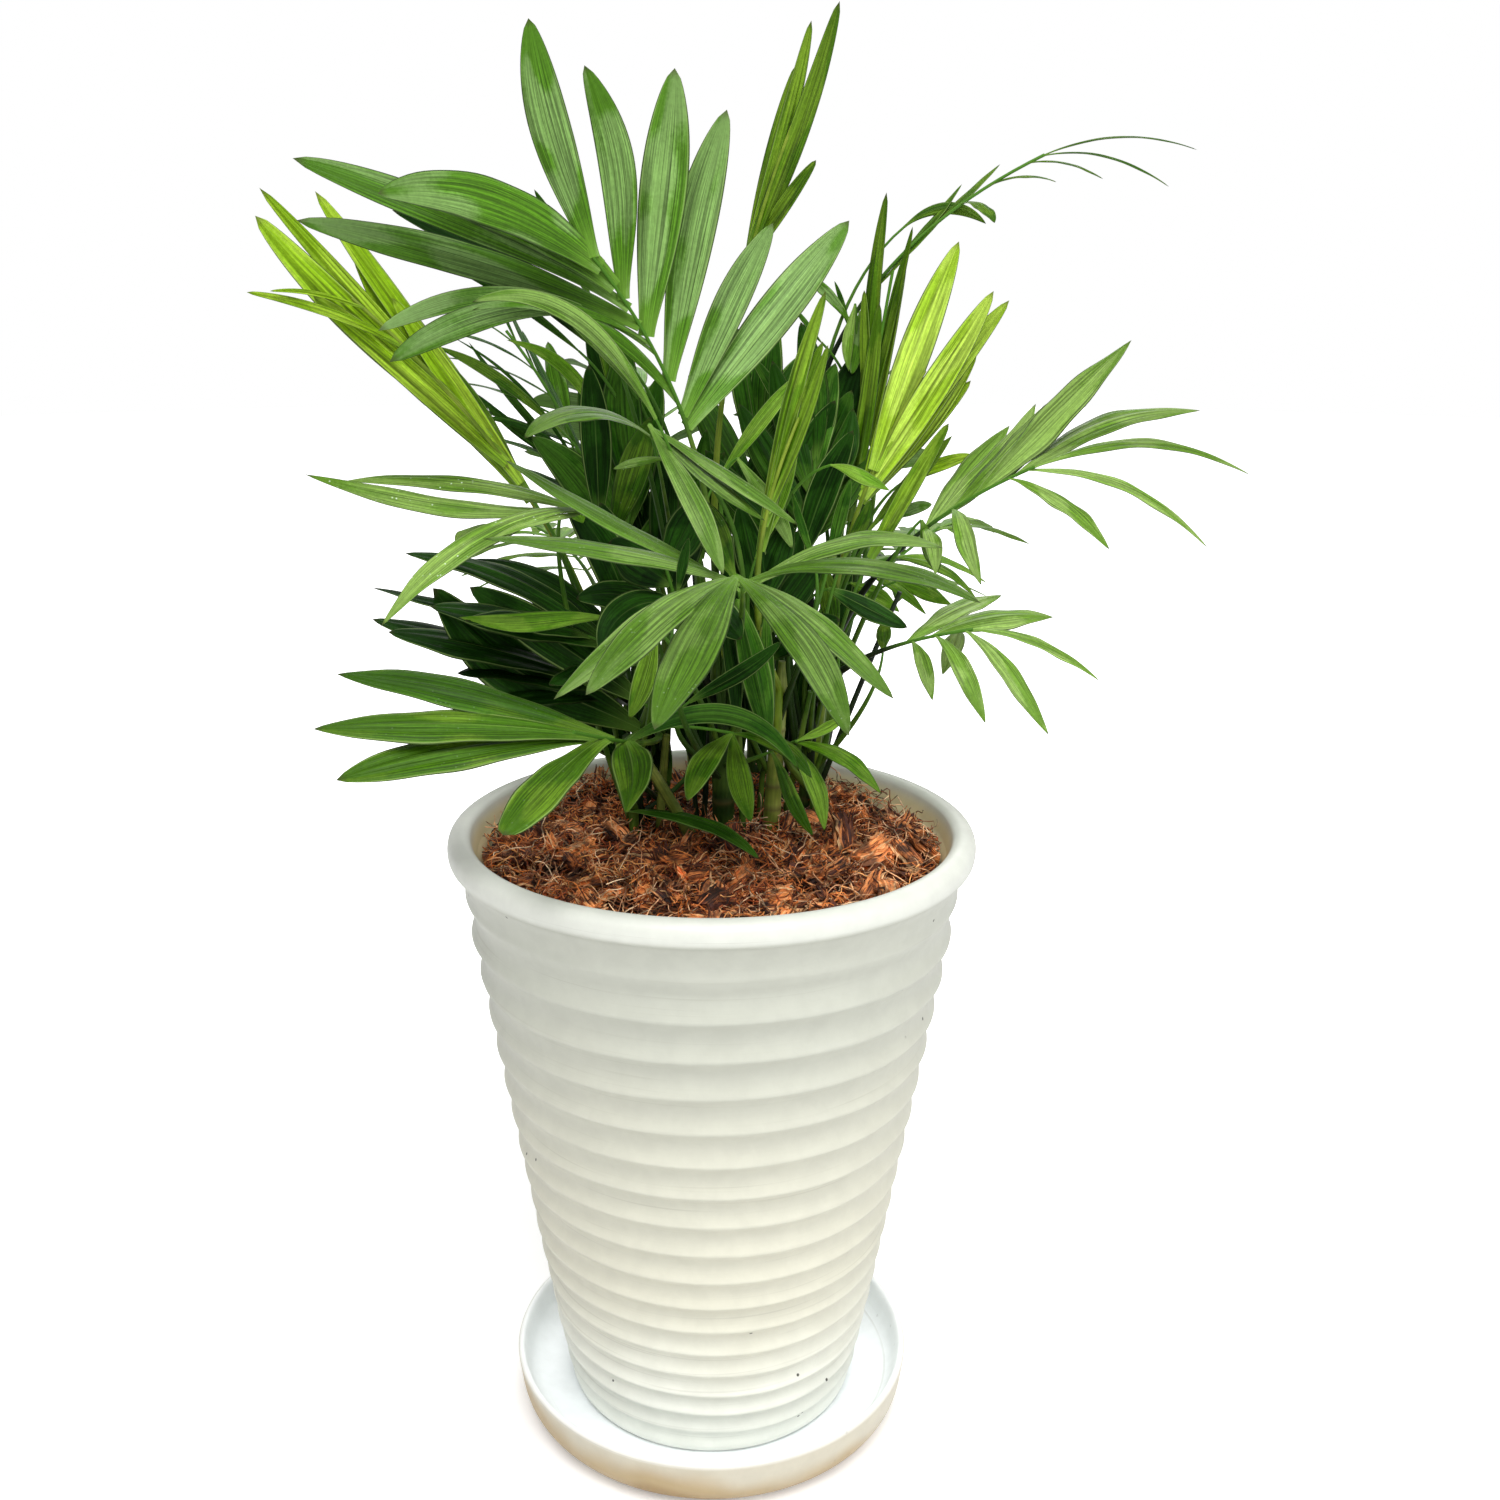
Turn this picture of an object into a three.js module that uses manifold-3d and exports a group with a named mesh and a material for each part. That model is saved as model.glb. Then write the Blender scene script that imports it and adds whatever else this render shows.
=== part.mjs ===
// A potted parlor palm: a ribbed, cream-glazed pot on its saucer, potting mix under a layer of
// coconut husk, short green canes, and one feather-shaped leaf (a frond) for each leaf stalk.
// Millimetres, +Z up. The origin is the middle of the saucer's flat underside, +X is the side at
// the right of the front view and +Y points away from the front.
import * as THREE from "three";
import { mergeVertices } from "three/addons/utils/BufferGeometryUtils.js";
import Module from "manifold-3d";

const wasm = await Module();
wasm.setup();

// Sizes of the pot, from its rim down.
const RIM_RADIUS = 75.6;
const RIM_Z = 186;
const LIP_Z = 189.8;
const LIP_RADIUS = 70.6;
const MOUTH_RADIUS = 67.6;
const BAND_Z = 179.5;
const NECK_RADIUS = 71.3;
const FOOT_RADIUS = 43.6;
const FOOT_Z = 7.8;
const FLOOR_Z = 15;
const FLOOR_RADIUS = 36.5;
const RIB_COUNT = 17;
const RIB_TOP_Z = 170.5;
const RIB_STEP = 12.58;
const RIB_SHRINK = 0.179;
const RIB_DEPTH = 1.5;
const AROUND = 36;

// Sizes of the saucer.
const SAUCER_RADIUS = 61.3;
const SAUCER_Z = 18.3;
const SAUCER_FLOOR = 7.45;

// The fill: potting mix, then a layer of husk with chunks in it.
const GAP = 0.35;
const MIX_Z = 162;
const HUSK_Z = 176;
const HUSK_RELIEF = 3.2;
const CHUNK_COUNT = 11;

// The greenery: a leaflet's thickness and the steps that it bends in, with the steps where a long
// and a short one have a cross section.
const BLADE = 1.25;
const BEND_STEPS = 12;
const LONG_LEAFLET = 45;
const STATIONS = [0, 4, 8, 11];
const FEW_STATIONS = [0, 5, 10];
const FUSE_TOLERANCE = 0.09;

// A leaf stalk's radius at its root and at the frond's tip, and how the stalks of one cane stand on
// its top end: the ring's radius, the turn from one to the next, and their height over it.
const STALK_RADIUS = 1.45;
const STALK_END_RADIUS = 0.7;
const STALK_RING = 2.5;
const STALK_TURN = 1.3;
const SEAT = 0.4;

// Each cane: foot x, y, then top x, y, z, and its radius at the foot.
const CANES = {
  a: [-13, 38, -17, 30, 210, 2.4],
  b: [-4, 52, -7, 50, 218, 2.2],
  c: [4, 14, 3, 10, 222, 3.4],
  d: [17, 20, 20, 15, 226, 2.6],
  e: [27, 31, 31, 30, 218, 2.2],
  f: [31, 44, 36, 48, 216, 2.0],
  g: [-24, 44, -31, 48, 214, 2.0],
  h: [13, 53, 14, 60, 218, 2.2],
  i: [-21, 24, -24, 15, 204, 2.2],
  j: [6, 36, 6, 34, 224, 2.4],
};

// One row for each frond. Its spine runs from the cane through the collar, where the leaflets
// start, to the tip. The leaflets come in sets, evenly spaced between two shares of the way from
// collar to tip. Heading goes round from +X to +Y, rise is up from the level, droop is how far a
// leaflet bends down. A size is one value, or the first and the last, or one for each leaflet.
const FRONDS = [
  {
    "name": "top", "cane": "c", "collar": [-6, 0, 300], "tip": [-29, -24, 345],
    "face": [0.1, -1, 0.35],
    "sets": [
      {
        "n": 6, "at": [0.04, 0.1, 0.3, 0.55, 0.76, 1], "heading": [19, 18, 7, 355, 186, 172],
        "rise": [49, 63, 77, 83, 81, 75], "long": [70, 55, 68, 64, 55, 56],
        "wide": [11, 9, 11, 12, 9, 10], "droop": 0,
      },
      {
        "n": 6, "at": [0.18, 0.5, 0.61, 0.71, 0.83, 0.94],
        "heading": [216, 208, 188, 194, 206, 212], "rise": [52, 40, 28, 37, 41, 33],
        "long": [69, 78, 88, 88, 62, 60], "wide": [9, 10, 9, 9, 12, 11],
        "droop": [1, 1.3, 0.4, 0.5, 0.7, 0.6],
      },
    ],
  },
  {
    "name": "front_centre", "cane": "c", "collar": [8, -30, 263], "tip": [6, -56, 272],
    "face": [0, -0.4, 1],
    "sets": [
      {
        "n": 5, "at": [0, 1], "heading": [175, 188, 227, 234, 250], "rise": [31, 23, 8, 5, -9],
        "long": [69, 66, 67, 62, 59], "wide": [7, 8, 10, 11, 12],
        "droop": [0.1, 0.4, 0.9, 0.8, 0.6],
      },
      {
        "n": 4, "at": [0, 1], "heading": [349, 339, 316, 297], "rise": [38, 26, -4, -12],
        "long": [54, 63, 54, 59], "wide": [11, 12, 9, 11], "droop": [0.8, 0.9, 0.8, 0.6],
      },
    ],
  },
  {
    "name": "front_upper", "cane": "b", "collar": [-14, 2, 290], "tip": [-16, -16, 304],
    "face": [0, -0.5, 1],
    "sets": [
      {
        "n": 2, "at": [0.7, 1], "heading": [229, 292], "rise": [54, 22], "long": [54, 43],
        "wide": 9, "droop": [1.5, 1.6],
      },
      {
        "n": 2, "at": [0.9, 0.95], "heading": [357, 347], "rise": [-34, -24], "long": [49, 56],
        "wide": 8, "droop": 0.2,
      },
    ],
  },
  {
    "name": "low_left", "cane": "a", "collar": [-22, -34, 224], "tip": [-34, -56, 233],
    "face": [0, -0.55, 1],
    "sets": [
      {
        "n": 3, "at": [0.1, 1], "heading": [274, 242, 194], "rise": [8, 0, 0], "long": [34, 48, 58],
        "wide": [13, 16, 14], "droop": [0.8, 0.5, 0.3],
      },
      {
        "n": 2, "at": [0.6, 1], "heading": [179, 184], "rise": [22, 11], "long": [67, 63],
        "wide": [12, 14], "droop": 0.3,
      },
    ],
  },
  {
    "name": "low_right", "cane": "i", "root": [-23, 12.4, 190], "collar": [-14, -24, 225],
    "tip": [6, -16, 221], "face": [0, -0.5, 1],
    "sets": [
      {
        "n": 3, "at": [0.66, 1], "heading": [265, 283, 315], "rise": [7, -3, 11],
        "long": [33, 35, 30], "wide": [12, 10, 10], "droop": 0.8,
      },
    ],
  },
  {
    "name": "low_far_right", "cane": "e", "root": [31.4, 26.9, 190], "collar": [21.5, 5, 211],
    "tip": [24, -3, 215], "face": [0, -0.3, 1],
    "sets": [
      {
        "n": 3, "at": [0.5, 1], "heading": [302, 330, 32], "rise": [-25, 10, 17],
        "long": [28, 31, 19], "wide": [8, 8, 5], "droop": [1.6, 1.2, 0],
      },
    ],
  },
  {
    "name": "left_mid", "cane": "i", "collar": [-19, -8, 271], "tip": [-33, -22, 283],
    "face": [0, -0.5, 1],
    "sets": [
      {
        "n": 3, "at": [0.78, 1, 1], "heading": [169, 187, 216], "rise": [24, 17, 9],
        "long": [72, 71, 65], "wide": [9, 8, 12], "droop": [0.6, 0.3, 1.2],
      },
    ],
  },
  {
    "name": "left_dark", "cane": "i", "collar": [-20, 2, 235], "tip": [-36, -4, 246],
    "face": [0, -0.4, 1],
    "sets": [
      {
        "n": 3, "at": [0.1, 0.5, 0.9], "heading": [167, 169, 169], "rise": [43, 39, 16],
        "long": [56, 67, 64], "wide": [12, 12, 8], "droop": [0.5, 0.6, 0.2],
      },
      {
        "n": 3, "at": [0.2, 0.6, 0.9], "heading": [231, 196, 215], "rise": [7, 24, 28],
        "long": [33, 51, 39], "wide": [13, 13, 9], "droop": [0.3, 0.3, 0.5],
      },
    ],
  },
  {
    "name": "low_dark", "cane": "g", "collar": [-27, 16, 223], "tip": [-38, 5, 232],
    "face": [0, -0.4, 1],
    "sets": [
      {
        "n": 2, "at": [0.6, 1], "heading": [170, 178], "rise": [32, 21], "long": [53, 60],
        "wide": [12, 11], "droop": 0.2,
      },
      {
        "n": 3, "at": [0.1, 0.5, 0.9], "heading": [206, 194, 187], "rise": [16, 18, 24],
        "long": [35, 42, 56], "wide": [12, 13, 12], "droop": [0.4, 0.3, 0.3],
      },
    ],
  },
  {
    "name": "left_spear", "cane": "g", "collar": [-50, 10, 281], "tip": [-95, 4, 335],
    "face": [0.2, -1, 0.3],
    "sets": [
      {
        "n": 4, "at": [0.19, 0.48, 0.81, 1], "heading": [177, 171, 166, 180],
        "rise": [61, 61, 61, 50], "long": [57, 55, 42, 35], "wide": [9, 9, 7, 7], "droop": 0,
      },
      {
        "n": 4, "at": [0.11, 0.42, 0.65, 0.91], "heading": [187, 189, 184, 183],
        "rise": [38, 30, 35, 44], "long": [61, 64, 54, 43], "wide": [9, 8, 7, 6], "droop": 0,
      },
    ],
  },
  {
    "name": "right_low", "cane": "e", "collar": [50, -6, 243], "tip": [70, -16, 250],
    "face": [0, -0.3, 1],
    "sets": [
      {
        "n": 3, "at": [0.27, 0.57, 0.92], "heading": [283, 294, 307], "rise": [-1, 1, -9],
        "long": [22, 33, 39], "wide": [6, 7, 7], "droop": [1.6, 1.6, 1.2],
      },
      {
        "n": 3, "at": [0.18, 0.51, 0.86], "heading": [32, 11, 91], "rise": [30, 24, -10],
        "long": [36, 36, 32], "wide": [9, 9, 6], "droop": [0.5, 0.6, 1.2],
      },
      {
        "n": 1, "at": [1, 1], "heading": 357, "rise": -1, "long": 38, "wide": 6, "droop": 0.8,
      },
    ],
  },
  {
    "name": "right_mid", "cane": "f", "collar": [59, 8, 273], "tip": [86, -6, 292],
    "face": [0, -0.35, 1],
    "sets": [
      {
        "n": 4, "at": [0, 0.3, 0.8, 0.95], "heading": [274, 282, 322, 349], "rise": [18, 10, -4, 1],
        "long": [22, 31, 35, 53], "wide": [8, 7, 9, 8], "droop": [1.8, 2, 1, 0.9],
      },
      {
        "n": 6, "at": [0.02, 0.1, 0.3, 0.5, 0.85, 1], "heading": [33, 25, 17, 6, 13, 1],
        "rise": [42, 44, 43, 45, 28, 21], "long": [40, 45, 48, 58, 56, 60],
        "wide": [10, 10, 11, 12, 9, 6], "droop": [0, 0, 0, 0, 0.4, 0.8],
      },
    ],
  },
  {
    "name": "top_right_arch", "cane": "f", "collar": [44, 42, 334], "tip": [93, 40, 373],
    "face": [0, -0.2, 1],
    "sets": [
      {
        "n": 4, "at": [0.62, 0.74, 0.93, 0.99], "heading": [306, 344, 338, 343],
        "rise": [14, 27, 10, 11], "long": [15, 20, 22, 37], "wide": [6, 5, 5, 3.5],
        "droop": [1.4, 0.8, 0.8, 0.9],
      },
      {
        "n": 3, "at": [0.22, 0.39, 1], "heading": [11, 10, 357], "rise": [48, 41, 22],
        "long": [29, 30, 43], "wide": [6, 6, 3.5], "droop": [0, 0, 0.7],
      },
    ],
  },
  {
    "name": "top_spear", "cane": "j", "collar": [10, 22, 344], "tip": [23, 20, 383],
    "face": [0.1, -1, 0.1],
    "sets": [
      {
        "n": 4, "at": [0.2, 0.49, 0.76, 1], "heading": [347, 355, 349, 348],
        "rise": [48, 75, 61, 69], "long": [24, 42, 27, 28], "wide": [5, 5, 6, 7], "droop": 0,
      },
    ],
  },
  {
    "name": "right_spear", "cane": "e", "collar": [42, 14, 280], "tip": [58, 10, 316],
    "face": [-0.1, -1, 0.2],
    "sets": [
      {
        "n": 4, "at": [0.07, 0.2, 0.36, 1], "heading": [12, 350, 346, 355],
        "rise": [46, 52, 57, 42], "long": [43, 45, 53, 29], "wide": [7, 9, 9, 6], "droop": 0,
      },
      {
        "n": 2, "at": [0.09, 0.24], "heading": [2, 359], "rise": 71, "long": [54, 64],
        "wide": [7, 8], "droop": 0,
      },
    ],
  },
  {
    "name": "right_upright", "cane": "f", "collar": [44, 36, 292], "tip": [51, 34, 342],
    "face": [-0.6, -0.8, 0.1],
    "sets": [
      {
        "n": 2, "at": [0.05, 0.68], "heading": [347, 359], "rise": [80, 76], "long": [54, 29],
        "wide": 9, "droop": 0,
      },
      {
        "n": 2, "at": [0.29, 0.83], "heading": [196, 181], "rise": [83, 88], "long": [31, 29],
        "wide": 7, "droop": 0,
      },
    ],
  },
  {
    "name": "centre_spear", "cane": "d", "collar": [13, -9, 270], "tip": [23, -8, 305],
    "face": [-0.4, -0.9, 0.1],
    "sets": [
      {
        "n": 3, "at": [0.45, 0.6, 1], "heading": [30, 27, 16], "rise": [74, 64, 76],
        "long": [39, 33, 29], "wide": [5, 5, 6], "droop": 0,
      },
    ],
  },
  {
    "name": "left_back", "cane": "g", "collar": [-35, 48, 276], "tip": [-61, 55, 325],
    "face": [0.8, -0.1, 0.6],
    "sets": [
      {
        "n": 6, "at": [0, 1], "heading": [200, 175], "rise": [30, 62], "long": [34, 44], "wide": 6,
        "droop": 0.1,
      },
      {
        "n": 5, "at": [0, 0.9], "heading": [110, 140], "rise": [40, 60], "long": 36, "wide": 6,
        "droop": 0.2,
      },
    ],
  },
  {
    "name": "right_behind", "cane": "f", "collar": [42, 56, 250], "tip": [57, 62, 256],
    "face": [0, -0.3, 1],
    "sets": [
      {
        "n": 4, "at": [0, 1], "heading": [300, 340], "rise": [5, 0], "long": 30, "wide": 7,
        "droop": 0.9,
      },
      {
        "n": 4, "at": [0, 1], "heading": [70, 12], "rise": [25, 5], "long": 34, "wide": 8,
        "droop": 0.8,
      },
    ],
  },
  {
    "name": "inner_broad", "cane": "b", "collar": [-25, 38, 259], "tip": [-23, 34, 278],
    "face": [0, -1, 0.2],
    "sets": [
      {
        "n": 3, "at": [0, 1], "heading": [180, 110], "rise": [55, 84], "long": 46, "wide": 12,
        "droop": 0.1,
      },
      {
        "n": 2, "at": [0, 0.6], "heading": [350, 40], "rise": [50, 75], "long": 44, "wide": 11,
        "droop": 0.1,
      },
    ],
  },
  {
    "name": "inner_dark", "cane": "c", "collar": [-6, -4, 244], "tip": [-12, -14, 266],
    "face": [0, -0.9, 0.4],
    "sets": [
      {
        "n": 2, "at": [0.4, 1], "heading": [324, 347], "rise": [22, 65], "long": [22, 21],
        "wide": [10, 11], "droop": [1.2, 0.1],
      },
      {
        "n": 3, "at": [0.2, 0.5, 0.8], "heading": [195, 226, 208], "rise": [35, 17, 40],
        "long": [32, 31, 22], "wide": [11, 10, 12], "droop": [0.6, 1.2, 0.2],
      },
    ],
  },
  {
    "name": "centre_low", "cane": "j", "collar": [15, 11, 234], "tip": [14, 0, 254],
    "face": [0, -1, 0.2],
    "sets": [
      {
        "n": 3, "at": [0.1, 0.6, 1], "heading": [338, 9, 28], "rise": [39, 56, 70],
        "long": [26, 28, 24], "wide": 9, "droop": [0.3, 0.1, 0.1],
      },
      {
        "n": 3, "at": [0.1, 0.5, 0.9], "heading": [214, 182, 165], "rise": [45, 68, 77],
        "long": [28, 34, 30], "wide": 9, "droop": [0.3, 0.2, 0.1],
      },
    ],
  },
  {
    "name": "centre_up", "cane": "h", "collar": [12, 48, 262], "tip": [15, 54, 290],
    "face": [0, -1, 0.3],
    "sets": [
      {
        "n": 3, "at": [0, 0.9], "heading": [165, 130], "rise": [45, 76], "long": [48, 40],
        "wide": 10, "droop": 0.2,
      },
      {
        "n": 4, "at": [0, 1], "heading": [10, 60], "rise": [40, 80], "long": [46, 38], "wide": 10,
        "droop": 0.2,
      },
    ],
  },
  {
    "name": "centre_dark", "cane": "j", "collar": [25, 22, 264], "tip": [30, 27, 292],
    "face": [-0.3, -1, 0.3],
    "sets": [
      {
        "n": 4, "at": [0, 0.9], "heading": [165, 120], "rise": [48, 78], "long": 40, "wide": 9,
        "droop": 0.1,
      },
      {
        "n": 3, "at": [0.1, 0.8], "heading": [20, 50], "rise": [50, 74], "long": 32, "wide": 9,
        "droop": 0.1,
      },
    ],
  },
  {
    "name": "back_right", "cane": "h", "collar": [54, 84, 246], "tip": [78, 110, 258],
    "face": [0.1, 0.2, 1],
    "sets": [
      {
        "n": 5, "at": [0, 0.95], "heading": [345, 30], "rise": [12, 8], "long": [38, 44], "wide": 9,
        "droop": 0.7,
      },
      {
        "n": 6, "at": [0, 1], "heading": [118, 58], "rise": [20, 10], "long": [46, 52], "wide": 10,
        "droop": 0.7,
      },
    ],
  },
  {
    "name": "back_middle", "cane": "h", "collar": [14, 100, 256], "tip": [12, 136, 266],
    "face": [0, 0.2, 1],
    "sets": [
      {
        "n": 6, "at": [0, 1], "heading": [18, 78], "rise": [22, 8], "long": [44, 54], "wide": 11,
        "droop": 0.7,
      },
      {
        "n": 6, "at": [0, 0.95], "heading": [166, 106], "rise": [18, 8], "long": [48, 58],
        "wide": 11, "droop": 0.7,
      },
    ],
  },
  {
    "name": "back_left", "cane": "g", "collar": [-42, 94, 246], "tip": [-62, 124, 256],
    "face": [-0.1, 0.2, 1],
    "sets": [
      {
        "n": 6, "at": [0, 1], "heading": [55, 114], "rise": [18, 8], "long": [44, 52], "wide": 10,
        "droop": 0.7,
      },
      {
        "n": 5, "at": [0, 0.95], "heading": [190, 138], "rise": [14, 8], "long": [40, 48],
        "wide": 10, "droop": 0.8,
      },
    ],
  },
  {
    "name": "back_high_left", "cane": "b", "collar": [-16, 76, 282], "tip": [-26, 98, 302],
    "face": [0, 0.7, 0.8],
    "sets": [
      {
        "n": 5, "at": [0, 1], "heading": [30, 95], "rise": [22, 30], "long": 34, "wide": 10,
        "droop": 0.5,
      },
      {
        "n": 5, "at": [0, 0.92], "heading": [185, 130], "rise": [22, 30], "long": 44, "wide": 10,
        "droop": 0.5,
      },
    ],
  },
  {
    "name": "back_high_right", "cane": "h", "collar": [36, 80, 280], "tip": [50, 102, 300],
    "face": [0, 0.7, 0.8],
    "sets": [
      {
        "n": 5, "at": [0, 1], "heading": [355, 60], "rise": [22, 30], "long": [38, 46], "wide": 10,
        "droop": 0.5,
      },
      {
        "n": 5, "at": [0, 0.92], "heading": [145, 85], "rise": [22, 30], "long": 32, "wide": 10,
        "droop": 0.5,
      },
    ],
  },
  {
    "name": "leaf_on_husk", "cane": "g", "root": [-24, 41, 184], "collar": [-22, 37, 189],
    "tip": [-20, 33, 190], "face": [0.1, -0.1, 1],
    "sets": [
      {
        "n": 1, "at": [1, 1], "heading": 305, "rise": 5, "long": 62, "wide": 9, "droop": 0.35,
      },
    ],
  },
];

const colour = (hex) => new THREE.MeshStandardMaterial({ color: hex, roughness: 0.6 });
const GLAZE = colour(0xf1f0e4);
const SOIL = colour(0x4a3021);
const HUSK = colour(0x9a5a2c);
const CANE_GREEN = colour(0x5f8a2f);
const LEAF_GREEN = colour(0x3f8a2b);

// A fixed stream of numbers from 0 to 1 for a seed.
function stream(seed) {
  let state = seed >>> 0;
  return () => {
    state = (Math.imul(state, 1664525) + 1013904223) >>> 0;
    return state / 4294967296;
  };
}

// A solid from a geometry whose surface is closed.
function solidOf(geometry) {
  const flat = geometry.index ? geometry.toNonIndexed() : geometry;
  const bare = new THREE.BufferGeometry().setAttribute("position", flat.getAttribute("position"));
  const merged = mergeVertices(bare, 1e-4);
  return new wasm.Manifold(new wasm.Mesh({
    numProp: 3,
    vertProperties: merged.attributes.position.array,
    triVerts: new Uint32Array(merged.index.array),
  }));
}

function meshOf(solid, name, material) {
  const made = solid.getMesh();
  const geometry = new THREE.BufferGeometry();
  geometry.setAttribute("position", new THREE.BufferAttribute(made.vertProperties, 3));
  geometry.setIndex(new THREE.BufferAttribute(made.triVerts, 1));
  geometry.computeVertexNormals();
  const mesh = new THREE.Mesh(geometry, material);
  mesh.name = name;
  return mesh;
}

// The biggest body of a solid, without any sliver that a cut left.
const largest = (solid) => solid.decompose().sort((a, b) => b.volume() - a.volume())[0];

// A turned solid from [radius, z] pairs that go from the axis at the bottom to the axis at the top.
function turned(profile, around = AROUND) {
  const lathe = new THREE.LatheGeometry(profile.map(([r, z]) => new THREE.Vector2(r, z)), around);
  return solidOf(lathe.rotateX(Math.PI / 2));
}

const coneRadius = (z) =>
  FOOT_RADIUS + ((z - FOOT_Z) * (NECK_RADIUS - FOOT_RADIUS)) / (BAND_Z - 3 - FOOT_Z);
const ribZ = (k) => RIB_TOP_Z - RIB_STEP * k + RIB_SHRINK * k * k;

function pot() {
  const outside = [];
  for (let k = RIB_COUNT - 1; k >= 0; k -= 1) {
    const crest = ribZ(k);
    const hollow = (crest + ribZ(k - 1)) / 2;
    const depth = k === 0 ? RIB_DEPTH / 2 : RIB_DEPTH;
    outside.push([coneRadius(crest) + depth / 2, crest]);
    if (k > 0) outside.push([coneRadius(hollow) - depth / 2, hollow]);
  }
  return turned([
    [0, FOOT_Z],
    [FOOT_RADIUS - 1.2, FOOT_Z],
    [FOOT_RADIUS, FOOT_Z + 1],
    ...outside,
    [NECK_RADIUS, BAND_Z - 3],
    [NECK_RADIUS + 2.2, BAND_Z],
    [RIM_RADIUS - 1.4, BAND_Z + 2.6],
    [RIM_RADIUS, RIM_Z],
    [RIM_RADIUS - 1.2, LIP_Z - 1.2],
    [LIP_RADIUS, LIP_Z],
    [MOUTH_RADIUS + 0.6, LIP_Z - 1.6],
    [MOUTH_RADIUS - 0.9, LIP_Z - 6],
    [FLOOR_RADIUS + 3, FLOOR_Z + 2],
    [FLOOR_RADIUS, FLOOR_Z],
    [0, FLOOR_Z],
  ]);
}

function saucer() {
  const r = SAUCER_RADIUS;
  return turned([
    [0, 0],
    [r - 13.5, 0],
    [r - 7.5, 1.2],
    [r - 3.1, 4.6],
    [r - 1, 10],
    [r, SAUCER_Z - 0.8],
    [r - 0.9, SAUCER_Z],
    [r - 2.2, SAUCER_Z - 0.7],
    [r - 4.2, 11.6],
    [r - 8.6, 8.4],
    [r - 14.5, SAUCER_FLOOR],
    [0, SAUCER_FLOOR],
  ]);
}

// The radius of the fill at a height, a gap inside the pot's wall.
function fillRadius(z) {
  const low = FLOOR_Z + 2;
  const high = LIP_Z - 6;
  const wall = FLOOR_RADIUS + 3 + ((z - low) * (MOUTH_RADIUS - 3.9 - FLOOR_RADIUS)) / (high - low);
  return wall - GAP - 0.3;
}

function pottingMix() {
  return turned([
    [0, FLOOR_Z + GAP],
    [FLOOR_RADIUS - 0.6, FLOOR_Z + GAP],
    [fillRadius(FLOOR_Z + 3), FLOOR_Z + 3],
    [fillRadius(MIX_Z), MIX_Z],
    [0, MIX_Z],
  ]);
}

const huskHeight = (x, y) =>
  HUSK_Z + HUSK_RELIEF * (0.5 * Math.sin(x / 7.3 + 1.1) * Math.cos(y / 8.1) +
    0.35 * Math.sin((x + y) / 4.7) + 0.3 * Math.cos((x - 1.7 * y) / 5.9)) + 0.03 * y;

// The husk: a disc with an uneven top, chunks pressed into it, and a hole for each cane.
function husk() {
  const rings = [18, 34, 50, fillRadius(HUSK_Z)];
  const around = 18;
  const low = MIX_Z + GAP;
  const points = [[0, 0, low], [0, 0, huskHeight(0, 0)]];
  const faces = [];
  const ringStart = [];
  for (const [index, r] of [[-1, fillRadius(low)], ...rings.map((r, k) => [k, r])]) {
    ringStart.push(points.length);
    for (let j = 0; j < around; j += 1) {
      const angle = (2 * Math.PI * j) / around;
      const x = r * Math.cos(angle);
      const y = r * Math.sin(angle);
      const edge = index === rings.length - 1 ? HUSK_Z - 1 : huskHeight(x, y);
      points.push([x, y, index < 0 ? low : edge]);
    }
  }
  for (let j = 0; j < around; j += 1) {
    const k = (j + 1) % around;
    const [bottom, first] = ringStart;
    const last = ringStart[rings.length];
    faces.push([0, bottom + k, bottom + j], [1, first + j, first + k]);
    faces.push([bottom + j, bottom + k, last + k], [bottom + j, last + k, last + j]);
    for (let ring = 1; ring < rings.length; ring += 1) {
      const [p, q] = [ringStart[ring], ringStart[ring + 1]];
      faces.push([p + j, q + j, q + k], [p + j, q + k, p + k]);
    }
  }
  let layer = solidFrom(points, faces);
  const next = stream(41);
  for (let k = 0; k < CHUNK_COUNT; k += 1) {
    const angle = 2.4 * k + next();
    const reach = 12 + 42 * Math.sqrt(next());
    layer = layer.add(chunk(reach * Math.cos(angle), reach * Math.sin(angle), next));
  }
  for (const cane of Object.values(CANES)) layer = layer.subtract(caneSolid(cane, 2 * GAP, -0.1));
  return largest(layer);
}

function chunk(x, y, next) {
  const size = [6 + 5 * next(), 3.5 + 3 * next(), 2.6 + 1.6 * next()];
  const box = new THREE.BoxGeometry(2 * size[0], 2 * size[1], 2 * size[2]);
  const turn = new THREE.Euler(0.5 * (next() - 0.5), 0.6 * (next() - 0.5), 6.28 * next());
  box.applyMatrix4(new THREE.Matrix4().makeRotationFromEuler(turn));
  box.translate(x, y, huskHeight(x, y) + 0.6);
  return solidOf(box);
}

function solidFrom(points, faces) {
  const geometry = new THREE.BufferGeometry();
  geometry.setAttribute("position", new THREE.BufferAttribute(new Float32Array(points.flat()), 3));
  geometry.setIndex(faces.flat());
  return solidOf(geometry);
}

// A closed skin over rings of points, each ring with as many points as the one before.
function skinned(rings, around, tip) {
  const points = rings.flat();
  const faces = [];
  const end = (rings.length - 1) * around;
  for (let j = 0; j < around; j += 1) {
    const k = (j + 1) % around;
    for (let i = 0; i < rings.length - 1; i += 1) {
      const [a, b] = [i * around, (i + 1) * around];
      faces.push([a + j, a + k, b + k], [a + j, b + k, b + j]);
    }
    if (tip) faces.push([end + j, end + k, points.length]);
    if (j > 1) {
      faces.push([0, j, j - 1]);
      if (!tip) faces.push([end, end + j - 1, end + j]);
    }
  }
  if (tip) points.push(tip);
  return solidFrom(points, faces);
}

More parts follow.
